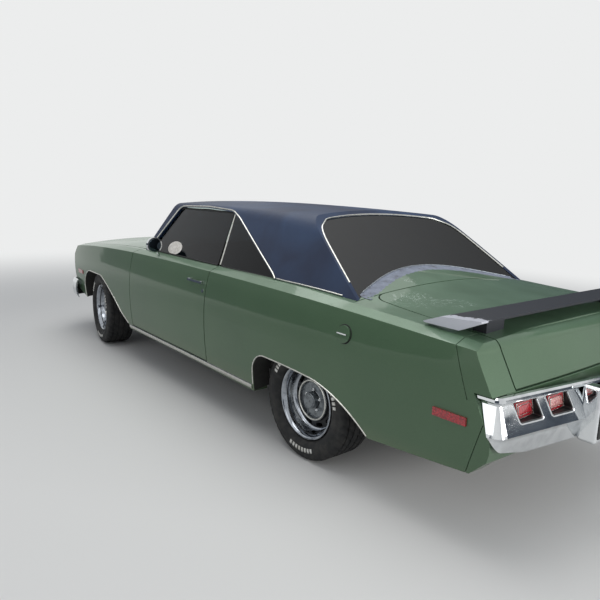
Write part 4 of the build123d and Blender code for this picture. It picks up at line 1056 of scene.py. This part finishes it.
def lamp_corners(span, shrink):
    """The corners of a lamp's slanted outline, shrunk all round, as (y, z)."""
    inner, outer = span
    low, high = lamp_low + shrink, lamp_high - shrink
    lean = lamp_slant * shrink / (lamp_high - lamp_low)
    return [
        (outer - lamp_slant + lean - shrink, low),
        (inner + shrink - lean, low),
        (inner + lamp_slant + shrink + lean, high),
        (outer - shrink - lean, high),
    ]


def lens_grid(corners, x, columns, rows, dome, flute):
    """A domed and fluted face stretched between four corners, looking backward."""
    verts = []
    (y0, z0), (y1, z1), (y2, z2), (y3, z3) = corners
    for r in range(rows + 1):
        v = r / rows
        for c in range(columns + 1):
            u = c / columns
            y = (y0 * (1 - u) + y1 * u) * (1 - v) + (y3 * (1 - u) + y2 * u) * v
            z = (z0 * (1 - u) + z1 * u) * (1 - v) + (z3 * (1 - u) + z2 * u) * v
            bulge = dome * math.sin(math.pi * u) ** 0.5 * math.sin(math.pi * v) ** 0.5
            verts.append(Vector((x - bulge - flute * abs(math.sin(math.pi * u * columns / 4)), y, z)))
    return verts, grid_faces(rows, columns)


def round_loop(corners, radius, steps=5):
    """A closed line through four corners, with each corner rounded."""
    line = []
    for i, corner in enumerate(corners):
        corner = Vector(corner)
        before, after = Vector(corners[i - 1]), Vector(corners[(i + 1) % 4])
        start = corner + (before - corner).normalized() * radius
        end = corner + (after - corner).normalized() * radius
        for k in range(steps + 1):
            t = k / steps
            line.append(start * (1 - t) ** 2 + corner * 2 * t * (1 - t) + end * t**2)
    return line


bumper_skin = skin_of("rear_bumper")
for number, (span, x) in enumerate(zip(lamp_spans, lens_face_x), 1):
    face = lens_grid(lamp_corners(span, 0.0045), x - 0.0006, 48, 12, 0.004, 0.0007)
    on_both_sides(f"tail_lens_{number}", *face, red_lens, "red_lens")
    window = lens_grid(lamp_corners(span, 0.0215), x - 0.0042, 32, 8, 0.0025, 0.0006)
    window_lens = backup_lens if number == 1 else bright_red_lens
    on_both_sides(f"tail_window_{number}", *window, window_lens, "red_lens")
    for shrink, width in ((0.0075, 0.0022), (0.0205, 0.0030)):
        loop = [Vector((x - 0.0035, y, z)) for y, z in round_loop(lamp_corners(span, shrink), 0.006)]
        strip = sweep(loop, [backward] * len(loop), bead(width, 0.0022), closed=True)
        on_both_sides(f"lens_frame_{number}_{round(width * 10000)}", *strip, stainless, "chrome")
    path, outward = laid_behind(bumper_skin, round_loop(lamp_corners(span, -0.0032), 0.013))
    rolled = sweep(path, outward, bead(0.0065, 0.0028), closed=True)
    on_both_sides(f"lamp_opening_edge_{number}", *rolled, chrome, "chrome")
print("four tail lamps")

# %% [markdown]
# ## Rubber strips of the bumper guards
# Each upright guard carries a black rubber strip that takes the first knock. It is an oblong with
# round ends, standing 3.5 mm proud of the chrome.


# %% Guard strips
def oblong(width, height, radius, steps=6):
    """A flat outline (across, up) with round corners."""
    points = []
    for turn, (right_sign, top_sign) in enumerate(((1, 1), (-1, 1), (-1, -1), (1, -1))):
        middle = (right_sign * (width / 2 - radius), top_sign * (height / 2 - radius))
        for k in range(steps + 1):
            a = math.radians(90 * turn + 90 * k / steps)
            points.append((middle[0] + radius * math.cos(a), middle[1] + radius * math.sin(a)))
    return points


def pad(outline, centre, across, upward, out, height, edge=0.0015):
    """A thin pad with a rounded edge, standing on a surface at a centre."""
    rings = [(1.0, 0.0), (1.0, height - edge), (0.985, height - edge * 0.3), (0.95, height)]
    verts = []
    for scale, lift in rings:
        verts += [centre + across * (a * scale) + upward * (b * scale) + out * lift for a, b in outline]
    count = len(outline)
    top = tuple(range((len(rings) - 1) * count, len(rings) * count))
    return verts, ring_faces(len(rings), count) + [top]


guard_place = Vector((rx(-1309.8), 0.297, 0.570))
guard_wide, guard_high, guard_proud = 0.040, 0.206, 0.0035
outline = oblong(guard_wide, guard_high, 0.012)
strip = pad(outline, guard_place, left_way, high_way, backward, guard_proud)
on_both_sides("guard_strip", *strip, rubber, "rubber_tyre")
print("guard strips", round(1000 * guard_wide), "by", round(1000 * guard_high), "mm")

# %% [markdown]
# ## Fuel cap
# The cap is painted with the body. A dark rubber ring shows round it, and a raised bar across it is
# what the hand turns. The ring is laid on the quarter panel like the mouldings, and the bar is a
# rounded ridge.

# %% Cap ring and bar
cap_x, cap_z = rx(-343), 0.783
cap_radius = 0.0445
circle = [(cap_x + x, cap_z + z) for x, z in oval(cap_radius, cap_radius, 40)]
ring = sweep(*laid_on(left_side, circle), bead(0.0062, 0.0022), closed=True)
add_piece("fuel_cap_ring", *ring, seal_rubber, "root", "rubber_tyre")
ridge = even_line([(cap_x + x, cap_z + 0.001) for x in (0.036, 0.01, -0.026)], 0.006)
bar = sweep(*laid_on(skin_of("fuel_cap"), ridge), bead(0.010, 0.0085))
add_piece("fuel_cap_bar", *bar, chrome, "root", "chrome")
print("cap ring", 2 * cap_radius, "m across")

# %% [markdown]
# ## Bare primer below the back window
# The vinyl once reached down to the deck here, and where it came off a band of grey primer is left
# along the foot of the glass. It is a skin 0.9 mm thick laid on the deck, with a torn edge. Rays
# sent forward find where the glass comes out of the deck, and rays sent straight down find the
# surface under the band.

# %% Primer
primer, primer_surface = new_material("weathered_primer", Roughness=0.75)
blotches = noise(primer, coords(primer), 22.0, 8.0, Roughness=0.7)
stops = [(0.30, "#4d4a4c"), (0.42, "#757b88"), (0.62, "#868d9c"), (0.74, "#b9bfc6")]
link(primer, ramp(primer, blotches, stops), primer_surface.inputs["Base Color"])
bumped(primer, primer_surface, blotches, 0.5)
dull_strip = metal("dulled_strip", "#9aa0a6", 0.4, 0.1, 15, metallic=0.7, dirt="#6f747b")

# %% Primer band
deck_skin = skin_of("rear_deck_panel")
band_half, band_columns, band_rows = 0.69, 120, 10
under_glass, band_thick, band_edge = 0.011, 0.0009, 0.0001


def glass_foot(y):
    """Where the glass comes out of the deck, seen from behind."""
    for step in range(90):
        start = (from_behind, y, 0.92 + 0.0015 * step)
        glass, deck = (hit(skin, start, ahead)[0] for skin in (pane_skin, deck_skin))
        if glass and (deck is None or glass.x < deck.x):
            return glass
    return None


def band_bottom(y, foot):
    """The band's torn lower edge on the deck."""
    torn = 0.0035 * math.sin(y * 143) + 0.0025 * math.sin(y * 351 + 1) + 0.002 * math.sin(y * 51)
    return foot.x - 0.052 - 0.02 * abs(y) - torn


def highest(x, y):
    """The highest of the glass and the deck at a place."""
    hits = [hit(skin, (x, y, 1.5), downward)[0] for skin in (pane_skin, deck_skin)]
    return max((place.z for place in hits if place), default=0.93)


across_band = [band_half - 2 * band_half * c / band_columns for c in range(band_columns + 1)]
feet = [(y, glass_foot(y)) for y in across_band]
feet = [(y, foot) for y, foot in feet if foot]
verts, top_line = [], []
for y, foot in feet:
    top_x, low_x = foot.x + under_glass, band_bottom(y, foot)
    top_line.append(Vector((top_x, y, highest(top_x, y) + 0.0006)))
    for r in range(band_rows + 1):
        x = top_x + (low_x - top_x) * r / band_rows
        verts.append(Vector((x, y, highest(x, y) + (band_thick if r < band_rows else band_edge))))
add_piece("primer_band", verts, grid_faces(len(feet) - 1, band_rows), primer, "root", "body_paint")
slant = Vector((-0.5, 0, 0.86))
strip = sweep(top_line[3:-3], [slant] * (len(top_line) - 6), bead(0.0075, 0.0035))
add_piece("glass_foot_strip", *strip, dull_strip, "root", "chrome")
print("primer band", round(verts[0].y - verts[-1].y, 3), "m wide")

# %% [markdown]
# ## Dark returns of the wheel openings
# Behind the bright moulding the panel turns inward, and that return is covered with black
# undercoat. A thin flange is swept along each opening just inside the painted edge.

# %% Opening returns
return_depth, return_inset = 0.118, 0.0055
flange = [(0.001, -0.003), (-0.001, -0.003), (-0.001, -return_depth), (0.001, -return_depth)]
front_return = [Vector((fx(371), 0.262))] + even_line(front_opening, 0.015, 1) + [Vector((fx(-668), 0.285))]
rear_return = [Vector((rx(400), 0.275))] + even_line(rear_opening, 0.015, 1)
for name, line, centre in (
    ("front_opening_return", front_return, front_middle),
    ("rear_opening_return", rear_return, rear_middle),
):
    inner = []
    for place in laid_on(left_side, beside(line, 0.004, centre))[0]:
        toward = (Vector((centre[0], place.y, centre[1])) - place).normalized()
        inner.append(place + toward * return_inset)
    on_both_sides(name, *sweep(inner, [left_way] * len(inner), flange), undercoat, "underbody")
print("returns", round(return_depth * 1000), "mm deep")

# %% [markdown]
# ## Rubber seals of the side windows
# A hardtop has no frame round its door glass. The glass runs up into a black rubber seal under the
# gutter, and a second strip wipes it where it drops into the door.

# %% Seals
seal_skin = skin_of("roof", "left_door_glass", "quarter_glass")
door_glass = skin_of("left_door_glass")
door_line = even_line([(fx(-885), 0.9395), (rx(972), 0.9395)], 0.03)
quarter_line = even_line([(rx(930), 0.9385), (rx(372), 0.9385)], 0.03)
seal_line, wiper = beside(gutter_line, -0.0035, roof_middle), bead(0.011, 0.003)
for name, skin, line, profile, bodies in (
    ("window_seal", seal_skin, seal_line, bead(0.014, 0.0035), both_roots),
    ("door_glass_wiper", door_glass, door_line, wiper, both_doors),
    ("quarter_glass_wiper", quarter_pane, quarter_line, wiper, both_roots),
):
    moulding(name, skin, line, profile, seal_rubber, "rubber_tyre", bodies)
print("seals laid")

# %% [markdown]
# ## Window sticker and mirror glass
# A plain oval sticker is on the driver's window near its foot. It is a disc 0.6 mm thick laid on
# the tilted glass. The mirror's glass is a disc in its chromed housing, coloured dark grey as a
# painted dark reflection.

# %% Sticker and mirror
paper, paper_surface = new_material("faded_paper_sticker", Roughness=0.6)
blotches = noise(paper, coords(paper), 60.0, 4.0)
stops = [(0.35, "#c9c3bb"), (0.65, "#e3dfd8")]
link(paper, ramp(paper, blotches, stops), paper_surface.inputs["Base Color"])
place, facing = hit(door_glass, (0.414, from_left, 0.986), inward)
up_glass = facing.cross(ahead).normalized()
up_glass = up_glass if up_glass.z > 0 else -up_glass
sticker = pad(oval(0.100, 0.051), place, ahead, up_glass, facing, 0.0006, 0.0003)
add_piece("oval_sticker", *sticker, paper, "left_door", "trim_plastic")
(back_x, low_y, _), (_, high_y, top_z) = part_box("door_mirror")
mirror_centre = Vector((back_x - 0.0002, (low_y + high_y) / 2, top_z - 0.057))
mirror_face = pad(oval(0.049, 0.049), mirror_centre, left_way, high_way, backward, 0.0012, 0.0008)
add_piece("mirror_with_painted_dark_reflection", *mirror_face, mirror_with_painted_dark_reflection, "left_door", "chrome")
print("sticker at", [round(v, 3) for v in place], "mirror at", [round(v, 3) for v in mirror_centre])

# %% [markdown]
# ## Seats
# The bench seats are foam under pleated vinyl. A cover sewn over foam pulls tight at its seams and
# swells between them, which straight modelling shows badly, so each cushion is blown up as cloth:
# the CAD block is remeshed to an even skin a little smaller than it will be, the skin is inflated
# for twenty frames, and no point may move further than 22 mm. The pleats are pressed in afterwards,
# along the seat and up the back.

# %% Cushions from their blocks
voxel = 0.016
start_smaller = 0.013
most_move = 0.022
pressure = 4.0
frames = 20
pleat = 0.062
pleat_depth = 0.006
welt = 0.06


def loose_blocks(node):
    """The separate solids of a CAD node as their own meshes."""
    work = bmesh.new()
    work.from_mesh(node.data)
    bmesh.ops.remove_doubles(work, verts=work.verts, dist=0.00001)
    work.faces.index_update()
    left, blocks = set(work.faces), []
    while left:
        group, edge = set(), [left.pop()]
        while edge:
            face = edge.pop()
            group.add(face)
            for near in {f for e in face.edges for f in e.link_faces}:
                if near in left:
                    left.remove(near)
                    edge.append(near)
        faces = sorted(group, key=lambda face: face.index)
        corners = dict.fromkeys(v for face in faces for v in face.verts)
        order = {v: i for i, v in enumerate(corners)}
        mesh = bpy.data.meshes.new("block")
        mesh.from_pydata([v.co[:] for v in order], [], [[order[v] for v in face.verts] for face in faces])
        blocks.append(mesh)
    work.free()
    return sorted(blocks, key=lambda m: min(v.co.x for v in m.vertices))


def apply_modifiers(piece):
    """Makes the modifiers' result the piece's own mesh."""
    graph = bpy.context.evaluated_depsgraph_get()
    piece.data = bpy.data.meshes.new_from_object(piece.evaluated_get(graph))
    piece.modifiers.clear()


def inflated(piece):
    """The places of the points after the skin is blown up as cloth."""
    cloth = piece.modifiers.new("cover", "CLOTH")
    cloth.settings.use_pressure = True
    cloth.settings.uniform_pressure_force = pressure
    cloth.settings.effector_weights.gravity = 0.0
    for frame_number in range(1, frames + 1):
        bpy.context.scene.frame_set(frame_number)
    graph = bpy.context.evaluated_depsgraph_get()
    moved = bpy.data.meshes.new_from_object(piece.evaluated_get(graph))
    piece.modifiers.clear()
    bpy.context.scene.frame_set(1)
    return [v.co.copy() for v in moved.vertices]


def swollen(name, block):
    """A remeshed block, inflated as cloth and subdivided once."""
    piece = bpy.data.objects.new(name, block)
    bpy.context.scene.collection.objects.link(piece)
    skin = piece.modifiers.new("skin", "REMESH")
    skin.mode = "VOXEL"
    skin.voxel_size = voxel
    apply_modifiers(piece)
    mesh = piece.data
    normals = [v.normal.copy() for v in mesh.vertices]
    for vertex, normal in zip(mesh.vertices, normals):
        vertex.co -= normal * start_smaller
    start = [v.co.copy() for v in mesh.vertices]
    ends = inflated(piece)
    for vertex, new, old in zip(mesh.vertices, ends, start):
        step = new - old
        vertex.co = old + step * min(1.0, most_move / max(step.length, 1e-9))
    softer = piece.modifiers.new("softer", "SUBSURF")
    softer.levels = softer.render_levels = 1
    apply_modifiers(piece)
    return piece


def limited(value):
    """A value kept between 0 and 1."""
    return max(0.0, min(1.0, value))


def press_pleats(piece, half_width, up_back):
    """Presses sewn channels into the side that is sat on or leaned on."""
    mesh = piece.data
    mesh.update()
    normals = [v.normal.copy() for v in mesh.vertices]
    low = min(v.co.y for v in mesh.vertices)
    for vertex, normal in zip(mesh.vertices, normals):
        facing = normal.x * 0.9 + normal.z * 0.3 if up_back else normal.z
        share = limited((facing - 0.35) * 3) * limited((half_width - abs(vertex.co.y)) / 0.04)
        wave = abs(math.sin(math.pi * (vertex.co.y - low) / pleat))
        vertex.co -= normal * pleat_depth * share * (1 - wave) ** 2


def reach(block, axis):
    """The lowest and highest place of a mesh along an axis."""
    places = [v.co[axis] for v in block.vertices]
    return min(places), max(places)


# %% The four cushions
for node_name in ("front_seat", "rear_seat"):
    for block in loose_blocks(nodes[node_name]):
        (back_x, front_x), (_, left_y), (low_z, high_z) = (reach(block, axis) for axis in range(3))
        is_back = high_z - low_z > front_x - back_x
        piece = swollen(f"{node_name}_{'back' if is_back else 'cushion'}", block)
        press_pleats(piece, left_y - welt, is_back)
        mesh = piece.data
        mesh.polygons.foreach_set("use_smooth", [True] * len(mesh.polygons))
        mesh.materials.clear()
        mesh.materials.append(seat_vinyl)
        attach(piece, "root")
        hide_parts(node_name)
        print(piece.name, len(mesh.polygons), "faces, top at", round(reach(mesh, 2)[1], 3))

# %% [markdown]
# ## Headlamp lenses
# A sealed beam has a silvered bowl closed by a pressed glass front with upright flutes that spread
# the light sideways. The CAD lamp is its bowl and rim. The lens is a shallow dome of glass a few
# millimetres ahead. Its ribs come from a wave pattern that lies level, where the real flutes stand
# upright.

# %% Lenses
bowl_x, bowl_y, bowl_z = fx(636), 0.594, 0.6375
dome = [
    (0.0815, 0.0655), (0.078, 0.0705), (0.066, 0.0745), (0.048, 0.0778), (0.026, 0.0796),
    (0.010, 0.0802),
]
turns = 48
verts = []
for radius, out in dome:
    verts += [(bowl_x + out, bowl_y + y, bowl_z + z) for y, z in oval(radius, radius, turns)]
middle_face = tuple(range((len(dome) - 1) * turns, len(dome) * turns))
faces = ring_faces(len(dome), turns) + [middle_face]
on_both_sides("headlamp_lens", verts, faces, clear_lens, "clear_lens")
print("headlamp lenses", round(2000 * dome[0][0]), "mm across")

# %% [markdown]
# ## Door cards and the top of the engine
# A door is closed on the inside by a card of pressed board under vinyl with sewn channels, clipped
# to the sheet, and an armrest is screwed through it. The card is laid on by rays sent outward from
# the cabin. On the engine, the rocker covers are pressed steel pans on either side of the air
# cleaner, whose lid is held by a wing nut.


# %% Door cards
def rounded_box(low, high, radius, steps=3):
    """A box with rolled edges."""
    work = bmesh.new()
    bmesh.ops.create_cube(work, size=1.0)
    middle, size = (Vector(low) + Vector(high)) / 2, Vector(high) - Vector(low)
    for vertex in work.verts:
        vertex.co = middle + vertex.co * size
    rolled = {"offset": radius, "segments": steps, "profile": 0.5, "clamp_overlap": True}
    bmesh.ops.bevel(work, geom=work.edges[:], affect="EDGES", **rolled)
    work.verts.index_update()
    verts = [v.co.copy() for v in work.verts]
    faces = [[v.index for v in f.verts] for f in work.faces]
    work.free()
    return verts, faces


card_columns, card_rows = 132, 22
card_start, card_length = -0.16, 1.06
card_low, card_height = 0.40, 0.40
card_thick = 0.009
channel_low, channel_high = 0.44, 0.70
channel_width, channel_depth = 0.052, 0.004
door_skin = skin_of("left_door")
verts = []
for r in range(card_rows + 1):
    z = card_low + card_height * r / card_rows
    for c in range(card_columns + 1):
        x = card_start + card_length * c / card_columns
        place, _ = hit(door_skin, (x, 0.2, z), left_way)
        on_edge = r in (0, card_rows) or c in (0, card_columns)
        wave = (1 - abs(math.sin(math.pi * x / channel_width))) ** 2
        sewn = channel_depth * wave if channel_low < z < channel_high else 0.0
        out = 0.0004 if on_edge else card_thick - sewn
        verts.append(Vector((x, place.y - out, z)))
on_both_sides("door_card", verts, grid_faces(card_rows, card_columns), seat_vinyl, "seat_vinyl", both_doors)
card_y = min(v.y for v in verts)
armrest = rounded_box((0.08, card_y - 0.042, 0.615), (0.44, card_y + 0.004, 0.660), 0.018, 5)
on_both_sides("armrest", *armrest, moulded_abs, "trim_plastic", both_doors)
pull = rounded_box((0.52, card_y - 0.022, 0.700), (0.62, card_y - 0.014, 0.716), 0.003)
boss = rounded_box((0.60, card_y - 0.016, 0.695), (0.63, card_y + 0.004, 0.721), 0.006)
on_both_sides("inner_handle", *joined(pull, boss), chrome, "chrome", both_doors)
print("door cards at", round(card_y, 3), "m from the middle")

# %% Rocker covers, air cleaner rim and wing nut
cover = rounded_box((fx(-400), 0.204, 0.698), (fx(170), 0.284, 0.741), 0.019, 4)
on_both_sides("rocker_cover", *cover, engine_blue, "engine_paint")
cleaner_x, cleaner_top = fx(-45), 0.790
lid = [
    (0.188, -0.030), (0.1945, -0.024), (0.1945, -0.014), (0.186, -0.004), (0.172, 0.002),
    (0.150, 0.0008),
]
turns = 64
verts = []
for radius, height in lid:
    verts += [(cleaner_x + x, y, cleaner_top + height) for x, y in oval(radius, radius, turns)]
add_piece("air_cleaner_rim", verts, ring_faces(len(lid), turns), black_enamel, "root", "black_paint")


def on_cleaner(half_x, half_y, low, high, radius):
    """A small rounded block on the middle of the air cleaner's lid."""
    corner = (cleaner_x - half_x, -half_y, cleaner_top + low)
    return rounded_box(corner, (cleaner_x + half_x, half_y, cleaner_top + high), radius)


stud = on_cleaner(0.005, 0.005, -0.002, 0.016, 0.002)
wings = on_cleaner(0.003, 0.022, 0.004, 0.014, 0.0025)
add_piece("wing_nut", *joined(stud, wings), sheet_steel, "root", "steel")
print("rocker covers 570 mm long")
